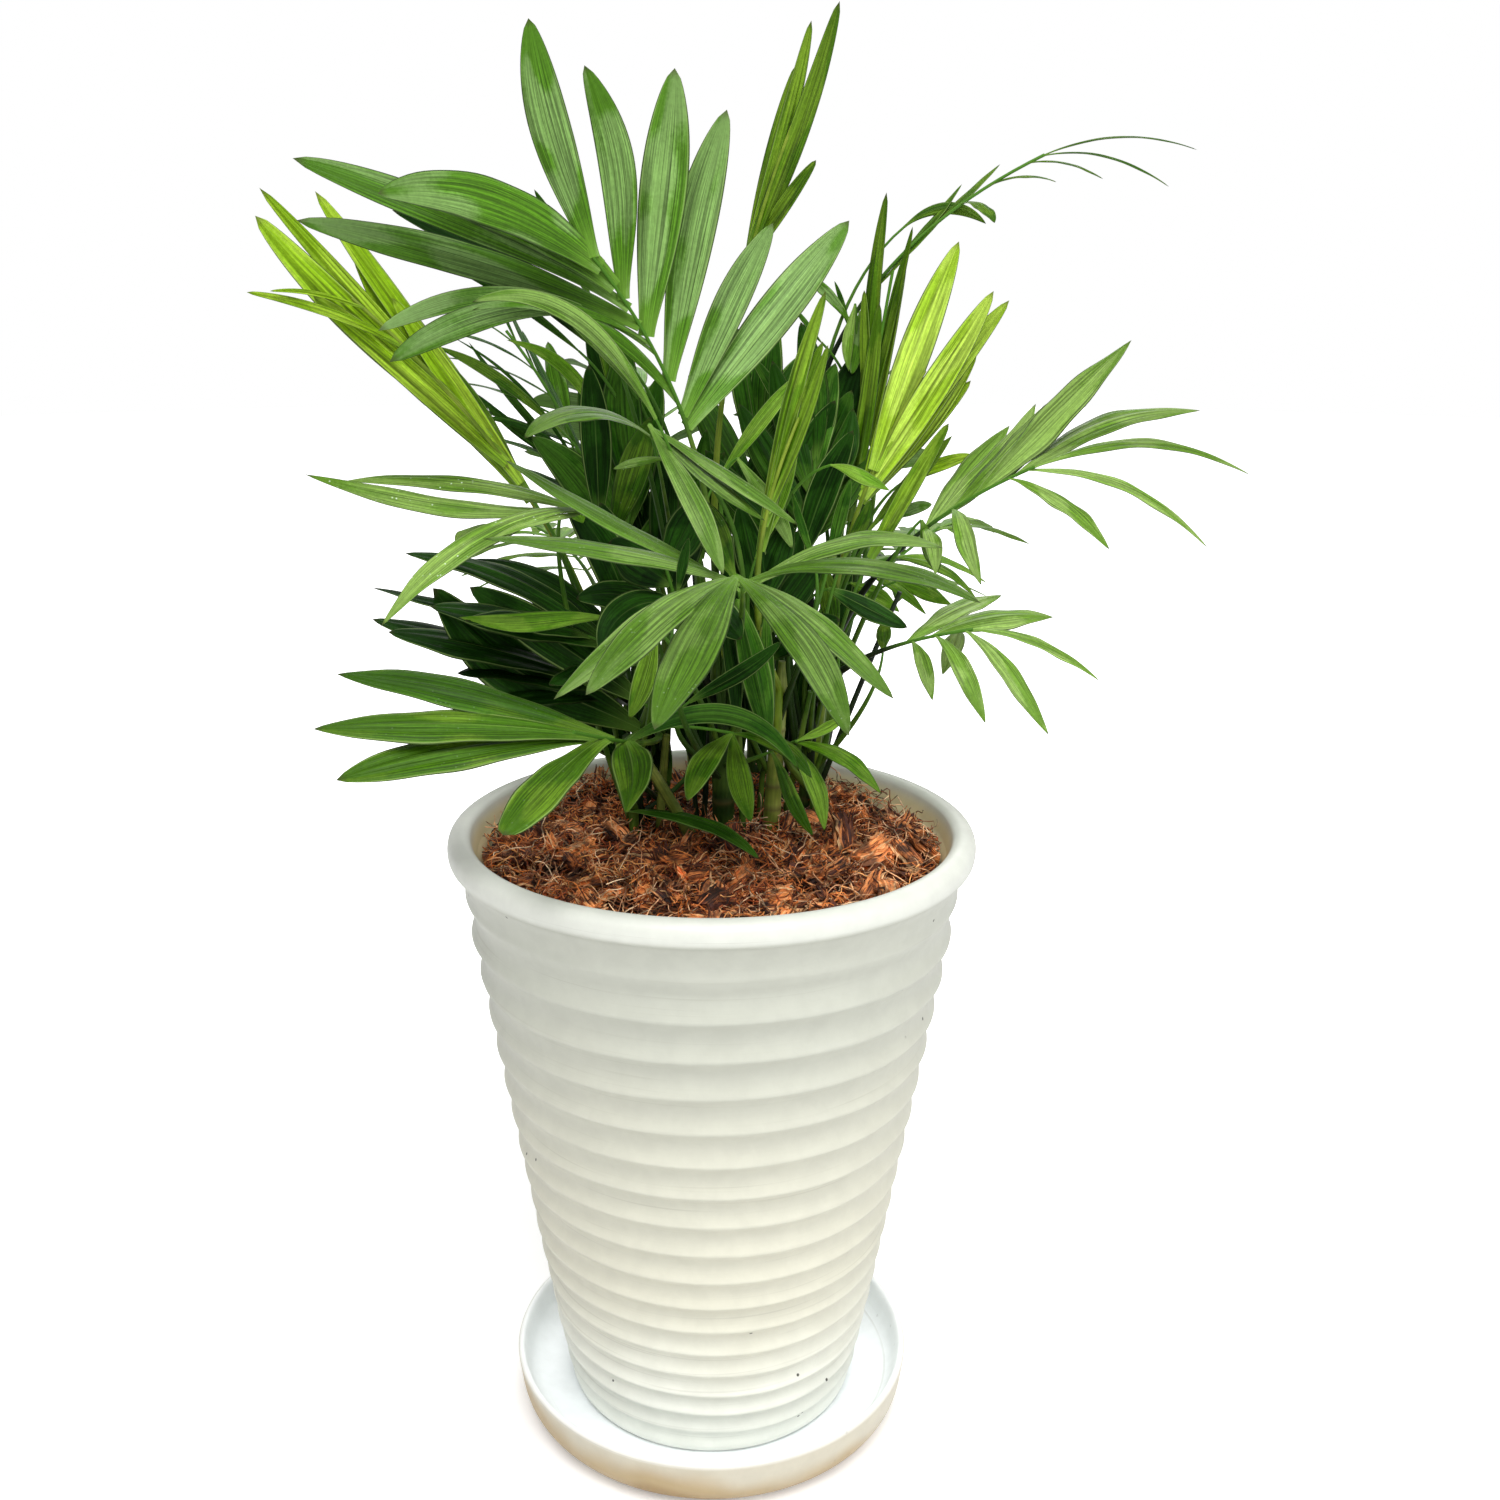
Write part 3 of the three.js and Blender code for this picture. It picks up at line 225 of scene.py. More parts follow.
# Single young leaves between the fronds: tint, cane, base, heading, rise, length, width, droop.
SHOOTS = [
    ("middle", "g", (-29, 38, 297), 196, 48, 40, 4, 0.3),
    ("upper", "b", (-44, 70, 292), 163, 77, 30, 6, 0),
    ("inner", "a", (-32, 20, 274), 136, 86, 43, 9, 0.1),
    ("low", "i", (-28, 10, 270), 350, 72, 36, 9, 0.1),
    ("inner", "a", (-20, -4, 244), 198, 64, 45, 11, 0),
    ("inner", "a", (-17, 2, 249), 172, 67, 35, 9, 0),
    ("middle", "i", (-37, -10, 285), 328, -61, 8, 5, 0.2),
    ("front", "c", (-11, -14, 295), 188, -1, 15, 2.4, 0.3),
    ("middle", "d", (2, 10, 287), 18, 51, 40, 4.6, 0.1),
    ("front", "d", (7, 6, 293), 338, -54, 29, 5, 0.1),
    ("inner", "b", (-30, 30, 323), 196, 36, 67, 6, 0.2),
    ("inner", "b", (-33, 34, 321), 192, 38, 57, 5, 0.2),
    ("deep_shade", "b", (-38, 36, 320), 187, 41, 39, 2.6, 0.3),
    ("deep_shade", "b", (-32, 10, 334), 203, 63, 32, 3.4, 0.1),
    ("inner", "b", (-21, 44, 285), 173, 69, 43, 9, 0),
    ("low", "b", (-29, 40, 306), 180, 79, 31, 3, 0.1),
    ("front", "b", (-17, 10, 306), 193, 57, 40, 3, 0.5),
    ("front", "b", (-14, -24, 306), 214, 59, 62, 5, 1),
    ("low", "f", (55, 44, 354), 355, 39, 25, 3.4, 1.2),
    ("deep_shade", "j", (7, 30, 278), 18, 55, 34, 6, 0),
    ("deep_shade", "e", (30, 48, 285), 174, 62, 39, 5, 0.1),
    ("speckled", "h", (20, 64, 295), 65, 86, 30, 3.5, 0),
    ("upper", "h", (13, 66, 296), 14, 53, 28, 4, 0),
    ("deep_shade", "f", (32, 40, 322), 192, 42, 15, 1.6, -0.4),
    ("upper", "f", (40, 44, 328), 188, 55, 20, 3.4, 0.5),
    ("deep_shade", "f", (40, 44, 326), 180, 69, 14, 1.6, -0.2),
    ("upper", "f", (43, 40, 331), 218, -80, 18, 4, 0),
    ("inner", "e", (25, 34, 270), 18, 69, 55, 12, 0),
    ("inner", "d", (23, 26, 273), 9, 70, 36, 9, 0),
    ("inner", "e", (25, 20, 262), 15, 67, 40, 9, 0),
    ("middle", "d", (32, -2, 292), 339, 1, 18, 4, 0.8),
    ("low", "e", (45, 20, 271), 355, 52, 35, 4.5, 0.1),
    ("spear_green", "e", (45, 14, 264), 354, 63, 43, 5, 0.1),
    ("spear", "f", (58, 40, 283), 0, 29, 20, 4, 0.3),
    ("upper", "f", (53, 24, 274), 0, 29, 11, 3.5, 0.3),
    ("deep_shade", "c", (7, -10, 257), 336, -76, 40, 8.5, 0),
    ("inner", "c", (3, -8, 254), 314, -80, 33, 4.5, 0),
    ("deep_shade", "c", (15, -4, 253), 298, -81, 31, 4, 0),
    ("inner", "c", (-6, -20, 231), 346, 38, 31, 4.6, 0.1),
    ("low", "c", (-14, -34, 254), 221, -67, 24, 6, 0),
    ("inner", "c", (-8, -60, 269), 0, 78, 13, 2.6, 0),
    ("low", "c", (6, -8, 263), 193, 68, 23, 9, 0.1),
    ("inner", "c", (-11, -6, 256), 345, 74, 28, 9, 0.1),
    ("deep_shade", "d", (28, 0, 266), 161, 71, 19, 2.5, 0),
    ("deep_shade", "d", (33, 6, 265), 21, 76, 23, 4, 0.1),
    ("low", "e", (37, 8, 265), 0, 68, 18, 4, 0.1),
    ("inner", "e", (33, 10, 256), 340, -17, 25, 6, 0.2),
    ("middle", "e", (41, 30, 254), 352, -25, 17, 5, 0.2),
    ("middle", "f", (54, 26, 255), 345, -13, 17, 4, 0.3),
    ("low", "e", (49, 10, 238), 0, 88, 9, 4.6, 0),
    ("front", "f", (58, 6, 276), 337, -69, 15, 5, 0),
    ("deep_shade", "a", (-22, -34, 224), 0, 22, 48, 5.6, 1.1),
    ("low", "c", (16, -26, 219), 0, -54, 27, 4.2, 0.9),
    ("inner", "a", (-21, 22, 199), 195, 50, 35, 12, 0.1),
    ("inner", "a", (-13, 26, 194), 207, 76, 36, 11, 0),
    ("inner", "j", (-4, 34, 192), 292, 84, 39, 11, 0),
    ("inner", "j", (7, 34, 192), 320, 82, 43, 10, 0),
    ("inner", "e", (24, 36, 197), 316, 81, 36, 9, 0),
    ("low", "g", (-51, 12, 283), 180, 58, 45, 5, 0),
    ("spear_green", "g", (-50, 8, 282), 180, 55, 56, 4.4, 0),
    ("spear_green", "f", (40, 30, 272), 29, 82, 62, 5, 0),
    ("speckled", "f", (41, 38, 333), 235, -82, 19, 3.4, 0.1),
    ("deep_shade", "e", (25, 30, 278), 15, 63, 35, 10, 0),
    ("middle", "d", (12, -4, 267), 19, 69, 34, 4.4, 0),
    ("inner", "i", (-6, 24, 201), 154, 83, 37, 7, 0),
    ("inner", "d", (15, 26, 197), 143, 85, 37, 7, 0),
    ("inner", "j", (3, 40, 190), 53, 82, 38, 8, 0),
    ("inner", "a", (-16, 36, 204), 146, 77, 31, 8, 0),
    ("inner", "a", (-20, 0, 226), 185, 38, 57, 12, 0.1),
    ("inner", "g", (-21, 10, 215), 186, 39, 71, 17, 0.1),
    ("middle", "i", (-27, -20, 254), 186, 16, 40, 5.5, 0.5),
    ("inner", "b", (-18, 40, 259), 153, 77, 39, 10, 0),
    ("inner", "b", (-15, 30, 255), 57, 84, 41, 9, 0.1),
    ("deep_shade", "j", (-3, 36, 260), 69, 84, 38, 8, 0.1),
    ("deep_shade", "j", (15, 40, 259), 122, 82, 33, 8, 0.1),
    ("inner", "d", (20, 16, 240), 36, 78, 32, 10, 0),
    ("inner", "e", (35, 28, 234), 46, 72, 27, 9, 0),
    ("inner", "c", (-3, 4, 237), 236, 75, 19, 9, 0),
    ("low", "e", (36, 14, 240), 158, 78, 23, 6, 0.1),
    ("deep_shade", "g", (-34, 44, 276), 172, 54, 64, 1.2, 0.3),
    ("deep_shade", "g", (-36, 46, 279), 174, 56, 56, 2.4, 0.3),
    ("low", "g", (-44, 40, 297), 187, 42, 43, 3.4, 0.3),
    ("deep_shade", "g", (-41, 44, 285), 180, 41, 36, 3, 0.1),
    ("deep_shade", "g", (-42, 42, 291), 184, 24, 28, 2, 0.1),
    ("deep_shade", "g", (-33, 40, 277), 180, 40, 25, 1.6, -0.3),
]

# Each tint: the leaf's full colour, the paler one of its painted sheen clouds and lit parts, the
# number of its veins, the share of its painted sheen clouds and of its dust specks, and the
# strength of its gloss. The darkest two, for leaves deep inside the crown, are copies darkened for
# painted shade, and the sunlit tint is a lightened copy for painted light.
TINTS = {
    "upper": ((70, 114, 20), (110, 142, 78), 8.0, 0.85, 0.0, 0.14),
    "front": ((68, 104, 18), (112, 140, 70), 8.0, 0.5, 0.12, 0.18),
    "sunlit": ((86, 124, 28), (136, 162, 88), 8.0, 0.5, 0.0, 0.16),
    "middle": ((76, 120, 10), (116, 150, 50), 8.0, 0.5, 0.0, 0.12),
    "speckled": ((84, 122, 28), (132, 160, 80), 8.0, 0.5, 0.9, 0.16),
    "low": ((46, 84, 4), (92, 122, 30), 8.0, 0.5, 0.08, 0.12),
    "deep_shade": ((30, 70, 6), (66, 106, 28), 6.0, 0.5, 0.0, 0.08),
    "inner": ((14, 42, 4), (34, 72, 14), 6.0, 0.5, 0.0, 0.06),
    "spear": ((116, 154, 12), (162, 192, 60), 3.0, 0.5, 0.0, 0.12),
    "spear_bright": ((124, 160, 22), (170, 196, 82), 3.5, 0.5, 0.0, 0.12),
    "spear_green": ((64, 100, 6), (114, 144, 38), 2.5, 0.5, 0.0, 0.14),
}

# How a tint's leaflets are shaped: fold is the drop of each edge as a share of half the width,
# ridges and pleat the number and the steepness of its small lengthwise folds, curl how far a
# leaflet bows sideways as a share of its length, wave how much its edges ripple, peak where it is
# widest (1 is its middle), blunt how long it stays wide (a small number is a strap) and foot the
# share of its width at its base.
SHAPE_KEYS = ("fold", "ridges", "pleat", "curl", "wave", "peak", "blunt", "foot")
SHAPES = {
    "upper": (0.08, 3, 0.10, 0.05, 0.09, 1.25, 0.62, 0.35),
    "front": (0.20, 3, 0.14, 0.04, 0.07, 1.22, 0.72, 0.2),
    "sunlit": (0.22, 3, 0.14, 0.05, 0.10, 1.05, 0.9, 0.14),
    "middle": (0.22, 3, 0.12, 0.06, 0.10, 1.05, 0.9, 0.16),
    "speckled": (0.22, 3, 0.10, 0.05, 0.10, 1.1, 0.9, 0.18),
    "low": (0.14, 3, 0.16, 0.04, 0.08, 1.2, 0.8, 0.22),
    "deep_shade": (0.20, 3, 0.12, 0.05, 0.10, 1.05, 0.7, 0.2),
    "inner": (0.18, 3, 0.14, 0.05, 0.08, 1.1, 0.65, 0.2),
    "spear": (0.24, 2, 0.34, 0.02, 0.03, 1.1, 0.5, 0.45),
    "spear_bright": (0.24, 2, 0.34, 0.02, 0.03, 1.05, 0.6, 0.4),
    "spear_green": (0.34, 2, 0.3, 0.02, 0.03, 1.0, 0.5, 0.5),
}

# The stalks' tint and paler tint, the share of their scars, and which fronds have which.
STALK_TINTS = {
    "green": ((50, 84, 20), (92, 120, 40), 1.0),
    # painted shade: this near-black finish stands for stalks in shade inside the crown
    "dark": ((16, 26, 14), (34, 50, 24), 1.0),
    "yellow": ((96, 124, 26), (132, 152, 50), 0.0),
    "olive": ((84, 98, 34), (128, 138, 62), 0.0),
}
SHADED_STALKS = ("right_low", "right_mid", "left_back", "centre_dark", "top_right_arch",
               "inner_dark", "back_right", "left_dark", "low_dark")
YELLOW_STALKS = ("left_spear", "right_spear", "top_spear", "centre_spear")

# Bare stalks that rise into the crown: finish, foot, bend, top and radius.
# the dark finish on these stalks is painted shade too
STEMS = [
    ("olive", (0, 9, 170), (-11, 4, 195), (-22, -2, 214), 1.9),
    ("olive", (-16, 17, 170), (-15, 14, 195), (-13, 10, 213), 1.4),
    ("dark", (-3, 18, 170), (-5, 16, 194), (-7, 14, 212), 0.8),
    ("olive", (3, 10, 206), (9, 8, 242), (20, 4, 301), 1.6),
    ("dark", (26, 30, 170), (40, 23, 215), (54, 16, 254), 0.9),
    ("green", (21, 30, 170), (25, 24, 200), (29, 18, 224), 1.1),
    ("dark", (-3, 23, 170), (-1, 21, 206), (1, 20, 236), 0.9),
    ("green", (10, 11, 170), (8, 9, 209), (7, 8, 242), 1),
    ("dark", (0, 18, 170), (5, 15, 208), (10, 12, 241), 1),
    ("green", (14, 29, 170), (16, 27, 207), (19, 26, 238), 0.9),
    ("dark", (21, 34, 170), (24, 34, 206), (27, 34, 236), 0.8),
    ("green", (25, 34, 170), (32, 34, 204), (39, 34, 233), 0.8),
    ("dark", (-20, 27, 170), (-18, 25, 206), (-17, 24, 235), 0.8),
    ("dark", (6, 34, 208), (-3, 30, 218), (-6, 26, 273), 1),
    ("green", (6, 34, 208), (3, 26, 213), (-3, 20, 262), 0.9),
    ("dark", (6, 34, 208), (18, 36, 217), (23, 36, 277), 1),
    ("dark", (6, 34, 208), (7, 34, 217), (8, 34, 272), 0.9),
    ("green", (31, 30, 202), (30, 30, 218), (41, 30, 267), 1),
]

# Chips of husk that the front view shows: x, y, height over the bed, half length, half width,
# half thickness, and the turns about Z, Y and X in degrees.
SHOWN_CHIPS = [
    (-19, -24, 2.6, 6.4, 3.2, 2.4, 8, -6, 18), (0.5, -34, 3.0, 5.6, 4.4, 3.6, 78, -38, 10),
    (-12, -45, 2.0, 9.5, 2.6, 1.8, -38, -4, 0), (38, -2, 5.0, 7.6, 2.6, 2.2, 102, -58, 0),
    (46, -12, 3.5, 6.5, 4.0, 3.2, 30, -20, 30), (54, -22, 2.8, 5.6, 3.6, 2.8, 130, 10, 0),
    (22, -40, 2.0, 8.2, 3.0, 2.0, 24, 0, 12), (12, -18, 3.0, 8.4, 2.0, 1.6, 118, -30, 0),
    (-44, -26, 2.2, 9.0, 2.4, 1.6, 28, -6, 0), (-30, -8, 3.0, 6.0, 3.4, 2.6, 160, 8, 20),
    (30, -26, 2.6, 6.4, 3.2, 2.2, 66, 6, 0), (4, -50, 1.6, 7.0, 2.8, 1.8, -12, 0, 0),
]

# Loose strands over the husk: their dark, middle and pale colours, how many a square metre, the
# size of their tangles, their lengths, radius, curl and rise, in metres, and a seed.
FIBRE_KEYS = ("Density", "Tangles", "Shortest", "Longest", "Radius", "Curl", "Curl Size", "Rise",
              "Seed")
FIBRES = {
    "rust": ((58, 26, 14), (160, 76, 36), (226, 140, 84),
             (120000.0, 95.0, 0.004, 0.014, 0.00018, 0.0125, 180.0, 0.0046, 3)),
    "orange": ((92, 42, 18), (206, 112, 46), (246, 182, 112),
               (130000.0, 120.0, 0.004, 0.015, 0.00017, 0.0135, 175.0, 0.0064, 8)),
    "straw": ((150, 92, 62), (230, 176, 128), (252, 222, 184),
              (60000.0, 70.0, 0.006, 0.022, 0.00017, 0.013, 110.0, 0.0074, 15)),
}
# A strand's own number runs from 0 to this.
OWN_RANGE = 40.0

# The camera: focal length and sensor in millimetres, sideways shift, place in metres, and how
# many degrees it looks down.
LENS, SENSOR, SHIFT = 37.8, 36.0, 0.0257
CAMERA_PLACE, LOOK_DOWN = (0, -0.429, 0.341), 16.8

# Each lamp: name, place, size and power. They all face the middle of the plant.
LAMPS = [("overhead", (0.1, -0.75, 1.35), 1.1, 21), ("front_right", (1.2, -0.9, 0.6), 0.8, 3),
         ("behind", (0.2, 1.2, 1.1), 0.8, 7)]
PLANT_MIDDLE = (0, 0, 0.22)
FLOOR_SIZE, FLOOR_AROUND = 4, 96


# ---- small helpers -------------------------------------------------------------------------


def srgb(*channels):
    """A colour for a socket, from the 0 to 255 values of a picture."""
    parts = [value / 255 for value in channels]
    return (*(part / 12.92 if part <= 0.04045 else ((part + 0.055) / 1.055) ** 2.4
              for part in parts), 1.0)


def unit(vector):
    """A vector, or each row of an array, at length one."""
    vector = np.asarray(vector, float)
    return vector / np.linalg.norm(vector, axis=-1, keepdims=True)


def smooth(value, low, high):
    """A soft step from 0 at low to 1 at high."""
    t = np.clip((np.asarray(value, float) - low) / (high - low), 0, 1)
    return t * t * (3 - 2 * t)


def direction(heading, rise):
    """The way of a heading and a rise in degrees."""
    turn, climb = math.radians(heading), math.radians(rise)
    return np.array([math.cos(climb) * math.cos(turn), math.cos(climb) * math.sin(turn),
                     math.sin(climb)])


def bent(foot, pull, top, t):
    """Points on a curve that leaves foot towards pull and comes in to top."""
    t = np.asarray(t, float)[..., None]
    return (1 - t) ** 2 * foot + 2 * t * (1 - t) * pull + t * t * top


def turns(around):
    """Even angles round a circle."""
    return np.arange(around) * FULL_TURN / around


def run_of(points):
    """How far along a line each of its points lies."""
    return np.concatenate([[0], np.cumsum(np.linalg.norm(np.diff(points, axis=0), axis=1))])


def placed(name, data):
    """A new object in the scene."""
    made = bpy.data.objects.new(name, data)
    bpy.context.scene.collection.objects.link(made)
    return made


def mark(mesh, name, values):
    """Stores a number for each point of a mesh."""
    made = mesh.attributes.new(name, "FLOAT", "POINT")
    made.data.foreach_set("value", np.asarray(values, np.float32))


class Shell:
    """Points and faces of many closed shapes that end up in one mesh."""

    def __init__(self):
        self.points, self.faces, self.uv, self.tone, self.count = [], [], [], [], 0

    def add(self, points, faces, uv, tone=0.5):
        """Adds a shape: points in millimetres, faces as index lists, a UV and a tone a point."""
        self.points.append(np.asarray(points, float))
        self.uv.append(uv)
        self.tone.append(np.broadcast_to(np.asarray(tone, float), (len(points),)))
        self.faces += [[i + self.count for i in face] for face in faces]
        self.count += len(points)

    def mesh(self, name, material, sharp=40):
        """The finished object, with edges over so many degrees drawn sharp."""
        mesh = bpy.data.meshes.new(name)
        mesh.from_pydata((np.concatenate(self.points) * MM).tolist(), [], self.faces)
        index = np.zeros(len(mesh.loops), np.int32)
        mesh.loops.foreach_get("vertex_index", index)
        layer = mesh.uv_layers.new(name="surface")
        layer.data.foreach_set("uv", np.concatenate(self.uv)[index].astype(np.float32).ravel())
        mark(mesh, "tone", np.concatenate(self.tone))
        mesh.polygons.foreach_set("use_smooth", [True] * len(mesh.polygons))
        mesh.materials.append(material)
        mesh.validate()
        mesh.update()
        if sharp:
            mesh.set_sharp_from_angle(angle=math.radians(sharp))
        return placed(name, mesh)


def ring_faces(rows, around):
    """Quads between rings of points."""
    return [[a + j, a + (j + 1) % around, a + around + (j + 1) % around, a + around + j]
            for a in range(0, (rows - 1) * around, around) for j in range(around)]


def closed_faces(rows, around, turned=False):
    """Quads between rings, and fans to the middles of the first and the last, which follow."""
    first, end = rows * around, (rows - 1) * around
    faces = ring_faces(rows, around)
    if turned:
        faces = [face[::-1] for face in faces]
    for j in range(around):
        k = (j + 1) % around
        a, b = (j, k) if turned else (k, j)
        faces += [[first, a, b], [first + 1, end + b, end + a]]
    return faces


def wrapped(around, along):
    """UVs of rings and of the middles of their ends: across runs round them, along is given."""
    across = turns(around) / FULL_TURN
    uv = np.stack(np.broadcast_arrays(across, along[:, None]), -1).reshape(-1, 2)
    return np.concatenate([uv, [[0.5, along[0]], [0.5, along[-1]]]])


def tube(path, radii, around, tone=0.5, relief=None, pitch=10.0):
    """A stick about a path, with capped ends. Relief scales its radius round it."""
    way = unit(np.gradient(path, axis=0))
    side = unit(np.cross(ASIDE, way))
    over = np.cross(way, side)
    turn = turns(around)
    reach = np.asarray(radii)[:, None] * (relief(turn) if relief else np.ones(around))
    points = path[:, None] + reach[..., None] * (
        side[:, None] * np.cos(turn)[:, None] + over[:, None] * np.sin(turn)[:, None])
    points = np.concatenate([points.reshape(-1, 3), path[:1], path[-1:]])
    return points, closed_faces(len(path), around), wrapped(around, run_of(path) / pitch), tone


def lathe(profile, around, tone, wobble=None):
    """A turned shell from [radius, z] pairs that start and end on the axis, bottom to top."""
    inner, turn = profile[1:-1], turns(around)
    radius, height = inner[:, :1] * np.ones(around), inner[:, 1:] * np.ones(around)
    if wobble:
        radius = wobble(radius, height, turn)
    points = np.stack([radius * np.cos(turn), radius * np.sin(turn), height], -1).reshape(-1, 3)
    points = np.concatenate([points, [[0, 0, profile[0, 1]], [0, 0, profile[-1, 1]]]])
    run = run_of(inner)
    marks = np.concatenate([np.repeat(tone[1:-1], around), tone[[0, -1]]])
    return points, closed_faces(len(inner), around), wrapped(around, run / run[-1]), marks


def rounded(profile, steps=6):
    """A profile through the same points with Catmull-Rom curves between them."""
    profile = np.asarray(profile, float)
    ends = np.vstack([2 * profile[0] - profile[1], profile, 2 * profile[-1] - profile[-2]])
    out = []
    for i in range(1, len(ends) - 2):
        p0, p1, p2, p3 = ends[i - 1:i + 3]
        for t in np.arange(steps) / steps:
            out.append(0.5 * ((2 * p1) + (p2 - p0) * t + (2 * p0 - 5 * p1 + 4 * p2 - p3) * t * t
                              + (3 * p1 - p0 - 3 * p2 + p3) * t ** 3))
    return np.array([*out, ends[-2]])


def beside(radius, z, *steps):
    """Profile points at given steps from a radius and a height."""
    return [(radius + out, z + up) for out, up in steps]


# ---- node trees ----------------------------------------------------------------------------


def add(tree, kind, inputs=None, **settings):
    """A node with its settings, each input given as a value or as the wire that feeds it."""
    node = tree.nodes.new(kind)
    for key, value in settings.items():
        setattr(node, key, value)
    for key, value in (inputs or {}).items():
        if isinstance(value, Wire):
            tree.links.new(value.socket, node.inputs[key])
        else:
            node.inputs[key].default_value = value
    return node


def wire(tree, kind, inputs=None, output=0, **settings):
    """One output of a new node."""
    return Wire(tree, add(tree, kind, inputs, **settings).outputs[output])


class Wire:
    """A node's output that can be reckoned with like a number."""

    def __init__(self, tree, socket):
        self.tree, self.socket = tree, socket

    def maths(self, operation, b=0.0, c=0.0, clamp=False):
        """The result of one Math node that this feeds first."""
        return wire(self.tree, "ShaderNodeMath", {0: self, 1: b, 2: c}, operation=operation,
                    use_clamp=clamp)

    def __add__(self, other):
        return self.maths("ADD", other)

    def __sub__(self, other):
        return self.maths("SUBTRACT", other)

    def __mul__(self, other):
        return self.maths("MULTIPLY", other)

    def __truediv__(self, other):
        return self.maths("DIVIDE", other)

    def step(self, low, high, start=0.0, end=1.0):
        """A soft step from start, where this is low, to end, where it is high."""
        return wire(self.tree, "ShaderNodeMapRange", {
            "Value": self, "From Min": low, "From Max": high, "To Min": start, "To Max": end},
            "Result", interpolation_type="SMOOTHSTEP")

    def noise(self, scale, detail=2.0, roughness=0.5):
        """The value of a Noise Texture at this place."""
        return wire(self.tree, "ShaderNodeTexNoise", {
            "Vector": self, "Scale": scale, "Detail": detail, "Roughness": roughness}, "Fac")

    def cells(self, scale):
        """How far this place is from the middle of its cell."""
        return wire(self.tree, "ShaderNodeTexVoronoi", {"Vector": self, "Scale": scale},
                    "Distance")

    def vector(self, operation, by=None, output=0):
        """A result of one Vector Math node that this feeds first."""
        second = {} if by is None else {"Scale" if operation == "SCALE" else 1: by}
        return wire(self.tree, "ShaderNodeVectorMath", {0: self, **second}, output,
                    operation=operation)

    def parts(self):
        """The X, Y and Z of this vector."""
        split = add(self.tree, "ShaderNodeSeparateXYZ", {0: self})
        return [Wire(self.tree, socket) for socket in split.outputs]

    def mixed(self, share, other, mode="MIX"):
        """The colour a share of the way from this to another."""
        other = other if isinstance(other, Wire) else srgb(*other)
        return wire(self.tree, "ShaderNodeMix", {0: share, 6: self, 7: other}, 2,
                    data_type="RGBA", blend_type=mode, clamp_factor=True)

    def shaded(self, shade):
        """This colour, darkened or lightened by a factor."""
        grey = wire(self.tree, "ShaderNodeCombineColor", {0: shade, 1: shade, 2: shade})
        return self.mixed(1.0, grey, "MULTIPLY")


def joined(x, y, z):
    """A vector of three parts."""
    return wire(x.tree, "ShaderNodeCombineXYZ", {0: x, 1: y, 2: z})


def group_tree(name, inputs, outputs, kind="ShaderNodeTree"):
    """A node group with named sockets, each given as its type or as the number it starts at."""
    tree = bpy.data.node_groups.new(name, kind)
    for side, sockets in (("INPUT", inputs), ("OUTPUT", outputs)):
        for label, value in sockets.items():
            sort = value if isinstance(value, str) else type(value).__name__.capitalize()
            made = tree.interface.new_socket(label, in_out=side, socket_type="NodeSocket" + sort)
            if sort != value:
                made.default_value = value
    given = tree.nodes.new("NodeGroupInput")
    return (tree, {label: Wire(tree, given.outputs[label]) for label in inputs},
            tree.nodes.new("NodeGroupOutput"))


def surface_group(name, inputs):
    """A finish's group: its inputs, the place on the object, and what ends it with results."""
    tree, given, out = group_tree(name, inputs, {"Color": "Color", "Roughness": "Float",
                                                 "Height": "Float"})

    def end(*results):
        for result, socket in zip(results, out.inputs):
            tree.links.new(result.socket, socket)
        return tree

    return given, wire(tree, "ShaderNodeTexCoord", output="Object"), end


def surface_uv(place):
    """Across and along a piece's surface, and its tone, in the tree of a given place."""
    across, along, _ = wire(place.tree, "ShaderNodeUVMap", uv_map="surface").parts()
    return across, along, tone_of(place)


def tone_of(place):
    """A piece's own tone, in the tree of a given place."""
    return wire(place.tree, "ShaderNodeAttribute", output="Fac", attribute_name="tone")


def finish_of(name, group, values, bump=0.3, depth=0.0004, gloss=0.5):
    """A material whose Principled shader is fed by one group."""
    material = bpy.data.materials.new(name)
    material.use_nodes = True
    tree = material.node_tree
    shader = tree.nodes["Principled BSDF"]
    shader.inputs["Specular IOR Level"].default_value = gloss
    marks = add(tree, "ShaderNodeGroup", node_tree=group)
    for key, value in values.items():
        marks.inputs[key].default_value = srgb(*value) if isinstance(value, tuple) else value
    relief = add(tree, "ShaderNodeBump", {"Strength": bump, "Distance": depth})
    for source, target in ((marks.outputs["Color"], shader.inputs["Base Color"]),
                           (marks.outputs["Roughness"], shader.inputs["Roughness"]),
                           (marks.outputs["Height"], relief.inputs["Height"]),
                           (relief.outputs[0], shader.inputs["Normal"])):
        tree.links.new(source, target)
    return material


